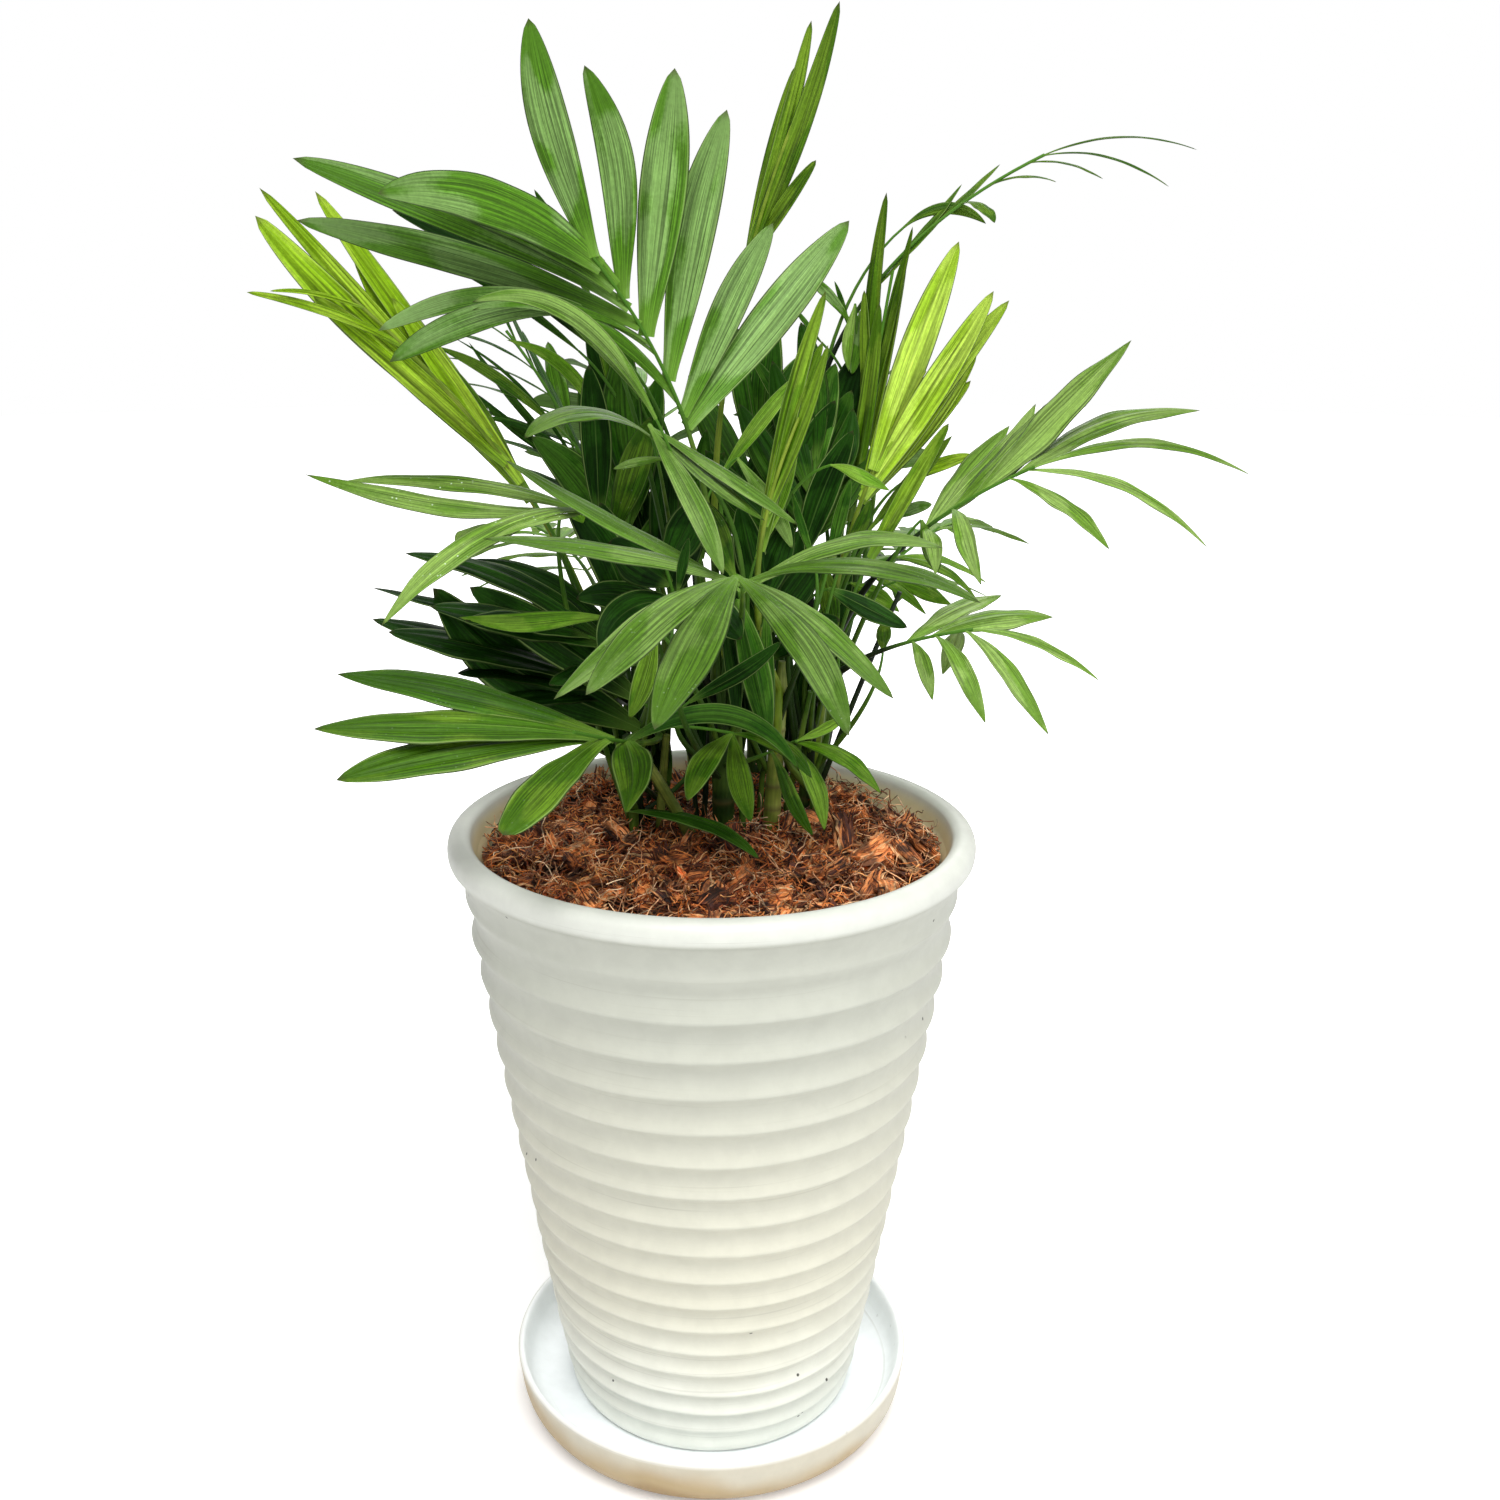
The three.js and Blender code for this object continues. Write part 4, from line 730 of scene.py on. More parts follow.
def leaf_surface():
    """A palm leaflet: parallel veins, pale clouds of painted sheen, a midrib, a dark thin edge,
    dust specks.
    """
    given, where, end = surface_group("leaf_surface", {
        "Tint": "Color", "Pale": "Color", "Sheen Cloud": 0.5, "Speck Share": 0.0, "Veins": 8.0})
    across, along, tone = surface_uv(where)
    # tone holds a leaflet's own random number; its underside adds 1
    under, own, count = tone.step(0.99, 1.01), tone.maths("FRACT"), given["Veins"]
    lane = joined(across * (count * 3.0), along * 1.3, own * 57.0)
    veins = lane.noise(1.0, 3.0, 0.62)
    # thin dark veins, unevenly spaced, that come and go along the leaflet
    line = ((lane.noise(0.2, 1.0) * 2.4 + across * count).maths("FRACT") - 0.5).maths("ABSOLUTE")
    line = line.step(0.04, 0.13, 1.0, 0.0) * veins.step(0.3, 0.6, 1.0, 0.35)
    # painted sheen: pale clouds along the leaflet stand for light glancing off its curved blade
    sheen_cloud = joined(across * 1.1, along * 2.6, own * 31.0).noise(1.0, 1.0)
    mottle = where.noise(900.0, 2.0, 0.6)
    pale = (sheen_cloud + (mottle * 0.06 - 0.03)).step(0.45, 0.56) * given["Sheen Cloud"]
    colour = given["Tint"].mixed(pale.maths("ADD", own * 0.3 - 0.1, clamp=True), given["Pale"])
    streak = joined(across * (count * 10.0), along * 9.0, own * 83.0).noise(1.0, 2.0, 0.7)
    stripe = veins.step(0.38, 0.62, 0.58, 1.34) * (line * -0.36 + 1.05) * streak.step(
        0.34, 0.66, 0.8, 1.22)
    # near the tip the stripes run together
    stripe = (stripe - 1.0) * along.step(0.7, 0.96, 1.0, 0.15) + 1.0
    colour = colour.shaded(stripe * (own * 0.3 + 0.86) * (mottle * 0.5 + 0.76))
    middle = (across - 0.5).maths("ABSOLUTE")
    midrib = (middle.step(0.006, 0.022, 1.0, 0.0) * along.step(0.3, 0.9, 0.5, 0.05)
              * own.step(0.35, 0.9, 0.05, 0.6))
    lit = given["Pale"].mixed(0.55, (176, 205, 120))
    colour = colour.mixed(midrib, lit)
    # a pale line inside the thin dark edge, then a pale foot, a dry tip and the underside
    colour = colour.mixed(middle.step(0.43, 0.455) * own.step(0.2, 0.7, 0.1, 0.6), lit)
    colour = colour.mixed(middle.step(0.46, 0.485) * 0.85, (26, 44, 14))
    colour = colour.mixed(along.step(0.0, 0.2, 0.3, 0.0), (134, 178, 70))
    colour = colour.mixed(along.step(0.955, 1.0, 0.0, 0.7), (58, 54, 34))
    colour = colour.mixed(under * 0.35, given["Pale"])
    specks = where.cells(620.0).step(0.10, 0.17, 1.0, 0.0)
    specks = specks * where.noise(75.0, 1.0).step(0.46, 0.62) * given["Speck Share"]
    colour = colour.mixed(specks, (206, 224, 196))
    return end(colour, veins * 0.2 + 0.34 + under * 0.18, veins + (line * -0.6 + midrib))


def stem_surface():
    """A cane or stalk: lengthwise fibres, ring scars round it and a dull bloom."""
    given, where, end = surface_group("stem_surface", {
        "Tint": "Color", "Pale": "Color", "Scar": "Color", "Scar Share": 0.0})
    across, along, tone = surface_uv(where)
    fibre = joined(across * 18.0, along * 0.5, 3.0).noise(1.0, 2.0, 0.6)
    colour = given["Tint"].mixed(where.noise(140.0).step(0.3, 0.72), given["Pale"])
    colour = colour.shaded(fibre.step(0.3, 0.7, 0.74, 1.14))
    scar = tone.maths("MULTIPLY", given["Scar Share"], clamp=True)
    return end(colour.mixed(scar, given["Scar"]), fibre * 0.25 + (scar * 0.2 + 0.3), fibre)


def glaze_surface():
    """Soft glaze: its colour turns with height, with mottles, pits, and a plain inner side."""
    given, where, end = surface_group("glaze_surface", {
        "Top": "Color", "Warm": "Color", "Foot": "Color", "Inside": "Color", "Foot Z": 0.02,
        "Warm Z": 0.06, "Top Z": 0.12, "Pits": 0.5, "Rim": "Color", "Rim Z": 0.18})
    z = where.parts()[2]
    height = z + (where.noise(22.0) * 0.03 - 0.015)
    colour = given["Foot"].mixed(height.step(given["Foot Z"], given["Warm Z"]), given["Warm"])
    colour = colour.mixed(height.step(given["Warm Z"], given["Top Z"]), given["Top"])
    colour = colour.mixed((z - given["Rim Z"]).step(0.0, 0.0022), given["Rim"])
    colour = colour.mixed(tone_of(where), given["Inside"])
    colour = colour.shaded(where.noise(160.0, 3.0, 0.6).step(0.3, 0.7, 0.965, 1.02))
    # faint drawn lines round the pot, as its hand-turned lip has
    hair = where.vector("MULTIPLY", (9.0, 9.0, 900.0)).noise(1.0, 2.0, 0.7)
    colour = colour.mixed(hair.step(0.62, 0.74, 0.0, 0.22), (150, 148, 130))
    pits = where.cells(130.0).step(0.05, 0.075, 1.0, 0.0) * where.noise(31.0, 1.0).step(0.53, 0.58)
    pits = pits * given["Pits"]
    fine = where.noise(700.0)
    return end(colour.mixed(pits, (70, 68, 60)), fine * 0.16 + 0.34,
               fine * 0.35 + hair * 0.5 - pits)


def coir_surface():
    """Coconut husk: strands that run along the piece, from dark brown over rust to straw, with
    painted shade and light in patches.
    """
    given, where, end = surface_group("coir_surface", {
        "Dark": "Color", "Rust": "Color", "Straw": "Color", "Straw Share": 0.3})
    across, along, tone = surface_uv(where)
    strand = joined(across * 22.0, along * 0.9, tone * 41.0).noise(1.0, 3.0, 0.65)
    # tone is each strand's own: low ones are dark, high ones pale
    light = strand + (tone * 0.56 - 0.26)
    colour = given["Dark"].mixed(light.step(0.3, 0.56), given["Rust"])
    colour = colour.mixed(light.step(0.54, 0.76) * given["Straw Share"], given["Straw"])
    # painted shade and light: darker patches for the gaps in the husk, lighter ones for its lit
    # tufts
    colour = colour.shaded(where.noise(190.0, 3.0, 0.6).step(0.36, 0.6, 0.26, 1.5))
    return end(colour, strand * 0.25 + 0.55, strand)


def crumb_surface():
    """Potting mix or a floor: crumbs from one colour to another."""
    given, where, end = surface_group("crumb_surface", {
        "Dark": "Color", "Light": "Color", "Grain": 300.0})
    grain = where.noise(given["Grain"], 4.0, 0.6)
    return end(given["Dark"].mixed(grain.step(0.34, 0.66), given["Light"]), grain * 0.2 + 0.7,
               grain)


def dressed(geometry, material, out):
    """Ends a tree of Geometry Nodes: made real, and with its material on."""
    real = wire(geometry.tree, "GeometryNodeRealizeInstances", {0: geometry})
    done = wire(geometry.tree, "GeometryNodeSetMaterial", {"Geometry": real,
                                                           "Material": material})
    geometry.tree.links.new(done.socket, out.inputs[0])
    return geometry.tree


def grown(base, tree, values, name):
    """The plain mesh that a Geometry Nodes tree makes of an object, in the object's place."""
    modifier = base.modifiers.new("rule", "NODES")
    modifier.node_group = tree
    for item in tree.interface.items_tree:
        if item.item_type == "SOCKET" and item.in_out == "INPUT" and item.name in values:
            modifier[item.identifier] = values[item.name]
    view = bpy.context.evaluated_depsgraph_get()
    mesh = bpy.data.meshes.new_from_object(base.evaluated_get(view), depsgraph=view)
    base.modifiers.clear()
    mesh.name = name
    made = placed(name, mesh)
    bpy.data.objects.remove(base)
    return made


# ---- pot and saucer ------------------------------------------------------------------------


def ribs_tree():
    """Geometry nodes that throw the ribs: sharp crests with smooth coves between them."""
    tree, given, out = group_tree("thrown_ribs", {
        "Pot": "Geometry", "Crest Z": 0.17, "Step": 0.0126, "Shrink": 0.0002, "Depth": 0.0015,
        "Edge": 0.1, "Wander": 0.0006, "Glaze": "Material"}, {"Pot": "Geometry"},
        "GeometryNodeTree")
    place = wire(tree, "GeometryNodeInputPosition")
    x, y, z = place.parts()
    below = given["Crest Z"] - ((place.noise(14.0, 1.0) - 0.5) * given["Wander"] + z)
    gap, shrink, edge = given["Step"], given["Shrink"], given["Edge"]
    root = (gap * gap - below * 4.0 * shrink).maths("MAXIMUM", 0.0).maths("SQRT")
    crest = (gap - root) / (shrink * 2.0)
    wave = (crest.maths("FRACT").maths("POWER", 0.86) * math.pi).maths("SINE")
    cove = (wave * wave + edge * edge).maths("SQRT")
    ribbed = wire(tree, "GeometryNodeInputNamedAttribute", {"Name": "ribbed"}, data_type="FLOAT")
    push = (edge + 0.5 - cove) * given["Depth"] * ribbed
    offset = joined(x, y, 0.0).vector("NORMALIZE").vector("SCALE", push)
    return dressed(wire(tree, "GeometryNodeSetPosition", {
        "Geometry": given["Pot"], "Offset": offset}), given["Glaze"], out)


def inner_radius(z):
    """The pot's inner radius at a height."""
    return FLOOR_RADIUS + 3 + (z - FLOOR_Z - 2) * (MOUTH_RADIUS - 3.9 - FLOOR_RADIUS) / (
        LIP_Z - 8 - FLOOR_Z)


def pot_piece(glaze):
    """The pot: a rounded lip, 17 thrown ribs and a plain foot."""
    cone = [(FOOT_RADIUS + (z - FOOT_Z) * (NECK_RADIUS - FOOT_RADIUS) / (BAND_Z - 3 - FOOT_Z), z)
            for z in np.arange(FOOT_Z + 2.2, BAND_Z - 3.0, POT_STEP)]
    foot = [(0, FOOT_Z), (FOOT_RADIUS * 0.6, FOOT_Z),
            *beside(FOOT_RADIUS, FOOT_Z, (-1.6, 0), (-0.5, 0.35), (0.1, 1.1))]
    lip = rounded([*beside(NECK_RADIUS, BAND_Z, (0.1, -2.4), (0.9, 0.2), (2.1, 2.2)),
                   *beside(RIM_RADIUS, BAND_Z, (-1.7, 3.3), (-0.8, 3.6), (-0.2, 4.4)),
                   (RIM_RADIUS, RIM_Z),
                   *beside(RIM_RADIUS, LIP_Z, (-0.5, -1.8), (-1.8, -0.5), (-3.4, 0)),
                   (LIP_RADIUS, LIP_Z - 0.1),
                   *beside(MOUTH_RADIUS, LIP_Z, (1.6, -1.0), (0.9, -2.8), (-0.4, -7))], 5)
    inside = [(inner_radius(z), z) for z in np.arange(LIP_Z - 8, FLOOR_Z + 2, -4.0)]
    floor = [*beside(FLOOR_RADIUS, FLOOR_Z, (2.2, 0.8), (0, 0), (-0.5 * FLOOR_RADIUS, 0)),
             (0, FLOOR_Z)]
    profile = np.array([*foot, *cone, *lip, *inside, *floor], float)
    z, order = profile[:, 1], np.arange(len(profile))
    tone = np.where(order > np.argmax(z), smooth(LIP_Z - z, 0.6, 5.0), 0.0)

    def thrown(radius, height, turn):
        """A hand-thrown pot is a little out of round, most at its belly."""
        swing = 0.22 * np.sin(2 * turn + 0.7 + height / 60) + 0.12 * np.sin(3 * turn - height / 35)
        return radius * (1 + 0.004 * swing * (radius > 20))

    shell = Shell()
    shell.add(*lathe(profile, POT_AROUND, tone, thrown))
    base = shell.mesh("pot_shell", glaze, 0)
    # the ribs fade out towards the foot and under the lip
    ribbed = np.where(order < len(foot) + len(cone) + 3, 1.0, 0.0)
    ribbed *= smooth(z, FOOT_Z + 3, FOOT_Z + 26) * 0.45 + 0.55
    ribbed *= smooth(z, FOOT_Z + 1.4, FOOT_Z + 4.5)
    ribbed *= 1 - 0.6 * smooth(z, BAND_Z - 12, BAND_Z - 7)
    ribbed *= 1 - smooth(z, BAND_Z - 6.5, BAND_Z - 2.5)
    mark(base.data, "ribbed", [*np.repeat(ribbed[1:-1], POT_AROUND), 0, 0])
    return grown(base, ribs_tree(), {
        "Crest Z": RIB_TOP_Z * MM, "Step": RIB_STEP * MM, "Shrink": RIB_SHRINK * MM,
        "Depth": RIB_DEPTH * MM, "Edge": 0.045, "Wander": 0.0035, "Glaze": glaze}, "ribbed_pot")


def saucer_piece(glaze):
    """The saucer: a round dish with a thin rolled edge."""
    outside = rounded(beside(SAUCER_RADIUS, 0, (-13.5, 0), (-10.6, 0.2), (-7.5, 1.2), (-4.9, 2.8),
                             (-3.1, 4.6), (-1.7, 7.2), (-1, 10), (-0.5, 13.6),
                             (-0.1, SAUCER_Z - 1.9)), 6)
    edge = rounded(beside(SAUCER_RADIUS, SAUCER_Z, (0, -0.9), (-0.35, -0.2), (-1.0, 0),
                          (-1.7, -0.25), (-2.2, -0.9)), 4)
    inside = rounded(beside(SAUCER_RADIUS, 0, (-2.7, SAUCER_Z - 2.6), (-3.4, 13.6), (-4.4, 11.4),
                            (-6.2, 9.6), (-8.8, 8.4), (-11.6, 7.75), (-14.5, SAUCER_FLOOR)), 6)
    profile = np.array([(0, 0), (20, 0), (SAUCER_RADIUS - 16, 0), *outside, *edge, *inside,
                        (30, SAUCER_FLOOR), (0, SAUCER_FLOOR)], float)
    first = 3 + len(outside)
    tone = smooth(np.arange(len(profile)), first + 2, first + len(edge) - 3)
    shell = Shell()
    shell.add(*lathe(profile, SAUCER_AROUND, tone))
    return shell.mesh("saucer_dish", glaze, 0)


# ---- husk ----------------------------------------------------------------------------------


def fill_radius(z):
    """The radius of the fill at a height, just inside the pot's wall."""
    return inner_radius(z) - WALL_GAP


def husk_height(x, y):
    """The top of the husk: a shallow bowl with heaps, higher to the back and the sides."""
    heaps = (0.5 * np.sin(x / 7.3 + 1.1) * np.cos(y / 8.1) + 0.35 * np.sin((x + y) / 4.7)
             + 0.3 * np.cos((x - 1.7 * y) / 5.9))
    hollow = 3.5 * np.exp(-((x - 7) ** 2 + (y + 12) ** 2) / 60)
    return HUSK_Z + 3.4 * heaps + 1.6 * (np.hypot(x, y) / 64) ** 2 + 0.02 * y - hollow


def husk_bed(coir):
    """The body of the husk layer, with a crumbled, uneven top."""
    draw = np.random.default_rng(BED_SEED)
    reach, turn = np.linspace(0, 1, BED_RINGS + 1)[1:, None] ** 0.8, turns(BED_AROUND)
    radius = reach * HUSK_RADIUS * np.ones(BED_AROUND)
    x, y = radius * np.cos(turn), radius * np.sin(turn)
    z = husk_height(x, y) + draw.normal(0, 0.55, x.shape) * (reach < 0.99)
    held = np.minimum(1, fill_radius(z) / radius)
    low = MIX_Z + GAP
    rim = fill_radius(low) * np.stack([np.cos(turn), np.sin(turn), 0 * turn], -1) + [0, 0, low]
    top = np.stack([x * held, y * held, z], -1).reshape(-1, 3)
    points = np.concatenate([top, rim, [[0, 0, float(husk_height(0, 0))], [0, 0, low]]])
    uv = np.stack([points[:, 0] / 30 + points[:, 1] / 90, points[:, 1] / 14], -1)
    shell = Shell()
    shell.add(points, closed_faces(BED_RINGS + 1, BED_AROUND, True), uv,
              draw.uniform(0, 1, len(points)))
    return shell.mesh("husk_bed", coir, 60)


def strip(size, draw, around=16, rows=6):
    """A chip of husk about the origin: strands run along X, its ends are ragged."""
    long, wide, thick = size
    turn, share = turns(around), np.linspace(-1, 1, rows)[:, None]
    square = (np.abs(np.cos(turn)) ** 4 + np.abs(np.sin(turn)) ** 4) ** -0.25
    edge = square * (1 + 0.12 * draw.normal(0, 1, around))
    ragged = 1 + 0.10 * draw.normal(0, 1, around) * (np.abs(share) > 0.9)
    edge = edge * (1 - 0.16 * np.abs(share) ** 3) * (1 + 0.05 * draw.normal(0, 1, (rows, around)))
    bow = long * (share ** 2 - 0.5)
    z = thick * np.sin(turn) * edge + 0.16 * bow * draw.normal()
    y = wide * np.cos(turn) * edge + 0.12 * bow * draw.normal()
    points = np.stack([share * long * ragged, y, z], -1)
    ends = [points[0].mean(0) * [0.9, 1, 1], points[-1].mean(0) * [0.9, 1, 1]]
    uv = wrapped(around, share[:, 0] * long / 12)
    uv[-2:, 1] = 0, 1
    return np.concatenate([points.reshape(-1, 3), ends]), closed_faces(rows, around, True), uv


def strands_of(size, draw, count):
    """The coarse strands that lie along a chip's skin and fray at its ends."""
    long, wide, thick = size
    share, made = np.linspace(-1, 1, 8), []
    for k in range(count):
        turn = FULL_TURN * (k + draw.uniform(0, 0.8)) / count
        x = share * long * draw.uniform(0.75, 1.2) + draw.normal(0, 0.12) * long
        ends = 1 + 0.3 * np.abs(share) ** 3 * draw.uniform(-0.3, 1)
        y = wide * math.cos(turn) * ends + draw.normal(0, 0.3) * wide * share ** 2
        z = thick * math.sin(turn) * ends + draw.normal(0, 0.16) * long * share ** 2
        y += draw.normal(0, 0.12, 8) * wide
        z += draw.normal(0, 0.10, 8) * thick
        radius = draw.uniform(0.35, 0.9) * min(0.6, 0.36 * math.sqrt(wide * thick))
        made.append(tube(np.stack([x, y, z], -1), radius * (1 - 0.75 * share ** 4), 5,
                         pitch=6.0)[:3])
    return made


def turned_to(points, yaw, pitch, roll):
    """Points turned about X, then Y, then Z, in radians."""
    cx, sx, cy, sy, cz, sz = (f(a) for a in (roll, pitch, yaw) for f in (math.cos, math.sin))
    about_x = np.array([[1, 0, 0], [0, cx, -sx], [0, sx, cx]])
    about_y = np.array([[cy, 0, sy], [0, 1, 0], [-sy, 0, cy]])
    about_z = np.array([[cz, -sz, 0], [sz, cz, 0], [0, 0, 1]])
    return points @ (about_z @ about_y @ about_x).T


def inside_wall(points):
    """Points held inside the pot's wall."""
    limit = fill_radius(np.minimum(points[:, 2], LIP_Z - 6)) - 0.2
    radius = np.maximum(np.hypot(points[:, 0], points[:, 1]), 1e-6)
    points[:, :2] *= np.minimum(1, limit / radius)[:, None]
    return points


def husk_chips(coir):
    """Chips of husk, those that the front view shows first, then smaller ones all round."""
    draw = np.random.default_rng(CHIP_SEED)
    shell = Shell()
    rows = [(*row[:3], row[3:6], [math.radians(a) for a in row[6:]]) for row in SHOWN_CHIPS]
    for k in range(CHIPS):
        turn = GOLDEN_TURN * k + draw.normal(0, 0.3)
        reach = CHIP_REACH * math.sqrt((k + 0.5) / CHIPS)
        size = np.array([draw.uniform(3.0, 8.0), draw.uniform(1.2, 3.4), draw.uniform(0.8, 2.2)])
        size *= 1.2 if k % 4 == 0 else 0.85
        rows.append((reach * math.cos(turn), reach * math.sin(turn), draw.uniform(1.4, 4.6), size,
                     [draw.uniform(0, 6.28), draw.normal(0, 0.45), draw.normal(0, 0.5)]))
    for k, (x, y, lift, size, angles) in enumerate(rows):
        place = [x, y, float(husk_height(x, y)) + lift + 0.9]
        points, faces, uv = strip([0.86 * part for part in size], draw)
        shell.add(inside_wall(turned_to(points, *angles) + place), faces, uv, draw.uniform(0, 0.6))
        count = SHOWN_STRANDS if k < len(SHOWN_CHIPS) else STRANDS
        for points, faces, uv in strands_of(size, draw, count):
            shell.add(inside_wall(turned_to(points, *angles) + place), faces, uv,
                      draw.uniform(0, 1) ** 1.5)
    return shell.mesh("husk_chips", coir, 50)


def fibres_tree():
    """Geometry nodes that scatter curly strands over a surface."""
    tree, given, out = group_tree("curly_fibres", {
        "Bed": "Geometry", "Density": 100000.0, "Tangles": 80.0, "Shortest": 0.006,
        "Longest": 0.02, "Radius": 0.00015, "Curl": 0.01, "Curl Size": 90.0, "Rise": 0.004,
        "Seed": 1, "Finish": "Material"}, {"Fibres": "Geometry"}, "GeometryNodeTree")
    upward = wire(tree, "GeometryNodeInputNormal").parts()[2]
    facing_up = wire(tree, "FunctionNodeCompare", {0: upward, 1: 0.3}, data_type="FLOAT",
                     operation="GREATER_THAN")
    # the strands lie in tangles with barer places between them
    tangle = wire(tree, "ShaderNodeTexNoise", {"Scale": given["Tangles"], "Detail": 1.0})
    points = wire(tree, "GeometryNodeDistributePointsOnFaces", {
        "Mesh": given["Bed"], "Selection": facing_up, "Seed": given["Seed"],
        "Density": given["Density"] * tangle.step(0.4, 0.6, 0.12, 1.5)})

    def drawn(kind, low, high, shift):
        """A random value for each point, from its own seed."""
        first = {"FLOAT_VECTOR": 0, "FLOAT": 2}[kind]
        return wire(tree, "FunctionNodeRandomValue", {
            first: low, first + 1: high, 8: given["Seed"] + float(shift)}, first // 2,
            data_type=kind)

    turn = drawn("FLOAT_VECTOR", (-0.55, -0.6, 0.0), (0.55, 0.6, 6.283), 11)
    length = drawn("FLOAT", given["Shortest"], given["Longest"], 12)
    own = drawn("FLOAT", 0.0, OWN_RANGE, 13)
    lift = wire(tree, "ShaderNodeCombineXYZ", {2: drawn("FLOAT", 0.0, given["Rise"], 14)})
    raised = wire(tree, "GeometryNodeSetPosition", {"Geometry": points, "Offset": lift})
    marked = wire(tree, "GeometryNodeStoreNamedAttribute", {
        "Geometry": raised, "Name": "own", "Value": own}, data_type="FLOAT", domain="POINT")
    line = wire(tree, "GeometryNodeCurvePrimitiveLine", {"Start": (-0.5, 0, 0),
                                                         "End": (0.5, 0, 0)})
    line = wire(tree, "GeometryNodeResampleCurve", {"Curve": line, "Count": 12})
    strands = wire(tree, "GeometryNodeInstanceOnPoints", {
        "Points": marked, "Instance": line, "Rotation": turn, "Scale": length})
    real = wire(tree, "GeometryNodeRealizeInstances", {0: strands})
    place = wire(tree, "GeometryNodeInputPosition")
    own = wire(tree, "GeometryNodeInputNamedAttribute", {"Name": "own"}, data_type="FLOAT")
    swirl = wire(tree, "ShaderNodeTexNoise", {
        "Vector": place, "W": own, "Scale": given["Curl Size"], "Detail": 1.0}, "Color",
        noise_dimensions="4D")
    swirl = swirl.vector("SUBTRACT", (0.5, 0.5, 0.5)).vector("SCALE", given["Curl"])
    curled = wire(tree, "GeometryNodeSetPosition", {"Geometry": real, "Offset": swirl})
    ring = wire(tree, "GeometryNodeCurvePrimitiveCircle", {"Resolution": 3,
                                                           "Radius": given["Radius"]})
    skin = wire(tree, "GeometryNodeCurveToMesh", {"Curve": curled, "Profile Curve": ring,
                                                  "Fill Caps": True})
    return dressed(skin, given["Finish"], out)


def husk_fibres(tree, bed, name, values):
    """One sort of loose strand over the husk."""
    made = grown(placed(name + "_bed", bed.data.copy()), tree, values, name)
    mesh = made.data
    points = np.zeros(len(mesh.vertices) * 3, np.float32)
    mesh.vertices.foreach_get("co", points)
    points = inside_wall(points.reshape(-1, 3).astype(float) / MM) * MM
    mesh.vertices.foreach_set("co", points.astype(np.float32).ravel())
    own = np.zeros(len(mesh.vertices), np.float32)
    mesh.attributes["own"].data.foreach_get("value", own)
    mark(mesh, "tone", own / OWN_RANGE)
    mesh.polygons.foreach_set("use_smooth", [True] * len(mesh.polygons))
    mesh.update()
    return made


# ---- canes, stalks and leaflets ------------------------------------------------------------


def cane_ends(key):
    """A cane's foot, on the mix, and its top."""
    x0, y0, x1, y1, z1, _ = CANES[key]
    return np.array([x0, y0, MIX_Z + GAP]), np.array([x1, y1, z1])


def sheath(key):
    """The leaf sheath that wraps the top of a cane."""
    foot, top = cane_ends(key)
    r = CANES[key][5]
    reach = np.linspace(SHEATH_LOW, SHEATH_HIGH, 40)
    start, bulb = (r * 0.84, r * 0.86) if key in YELLOW_CANES else (r * 0.9, r * 0.95 + 0.7)
    radii = start + (bulb - start) * smooth(reach, SHEATH_LOW, -4)
    radii -= 1.2 * smooth(reach, -2, SHEATH_HIGH)
    return tube(top + unit(top - foot) * reach[:, None], radii, SHEATH_AROUND, 0.0,
                lambda turn: 1 + 0.03 * np.cos(9 * turn))


def cane_shells():
    """The canes, slim and ringed by leaf scars, the yellow ones with their sheaths."""
    draw = np.random.default_rng(CANE_SEED)
    shells = {"canes_green": Shell(), "canes_yellow": Shell(), "sheaths": Shell()}
    share = np.linspace(0, 1, 70)
    for key in sorted(CANES):
        foot, top = cane_ends(key)
        rings = np.cumsum(draw.uniform(7, 12, 8)) + draw.uniform(2, 6)
        height = share * (top[2] - foot[2])
        scar = np.exp(-(np.min(np.abs(height[:, None] - rings), axis=1) / 0.8) ** 2)
        tone = [*np.repeat(0.9 * scar, CANE_AROUND), 0, 0]
        cane = tube(foot + (top - foot) * share[:, None], CANES[key][5] * (1.1 - 0.3 * share)
                    + 0.22 * scar, CANE_AROUND, tone)
        yellow = key in YELLOW_CANES
        shells["canes_yellow" if yellow else "canes_green"].add(*cane)
        shells["canes_yellow" if yellow else "sheaths"].add(*sheath(key))
    return shells


def pick(value, k, n):
    """The k-th of a set's n values: one for all, the first and the last, or one for each."""
    if not isinstance(value, (list, tuple)):
        return value
    if len(value) == n:
        return value[k]
    return value[0] + (value[1] - value[0]) * k / (n - 1)


def roots_of(key):
    """Where the stalks of a cane start: in a ring on its top, in the order of their collars."""
    _, _, x, y, z, r = CANES[key]
    ways = {name: math.atan2(collar[1] - y, collar[0] - x)
            for name, cane, _, collar, _, _, root, _ in FRONDS if cane == key and not root}
    first = next(iter(ways.values()), 0)
    order = sorted((math.atan2(math.sin(way - first), math.cos(way - first)), name)
                   for name, way in ways.items())
    middle = first + sum(turn for turn, _ in order) / max(len(order), 1)
    reach = max(r * 0.8, STALK_RING)
    roots = {}
    for k, (_, name) in enumerate(order):
        turn = middle + STALK_TURN * (k - (len(order) - 1) / 2)
        roots[name] = (x + reach * math.cos(turn), y + reach * math.sin(turn), z + SEAT)
    return roots


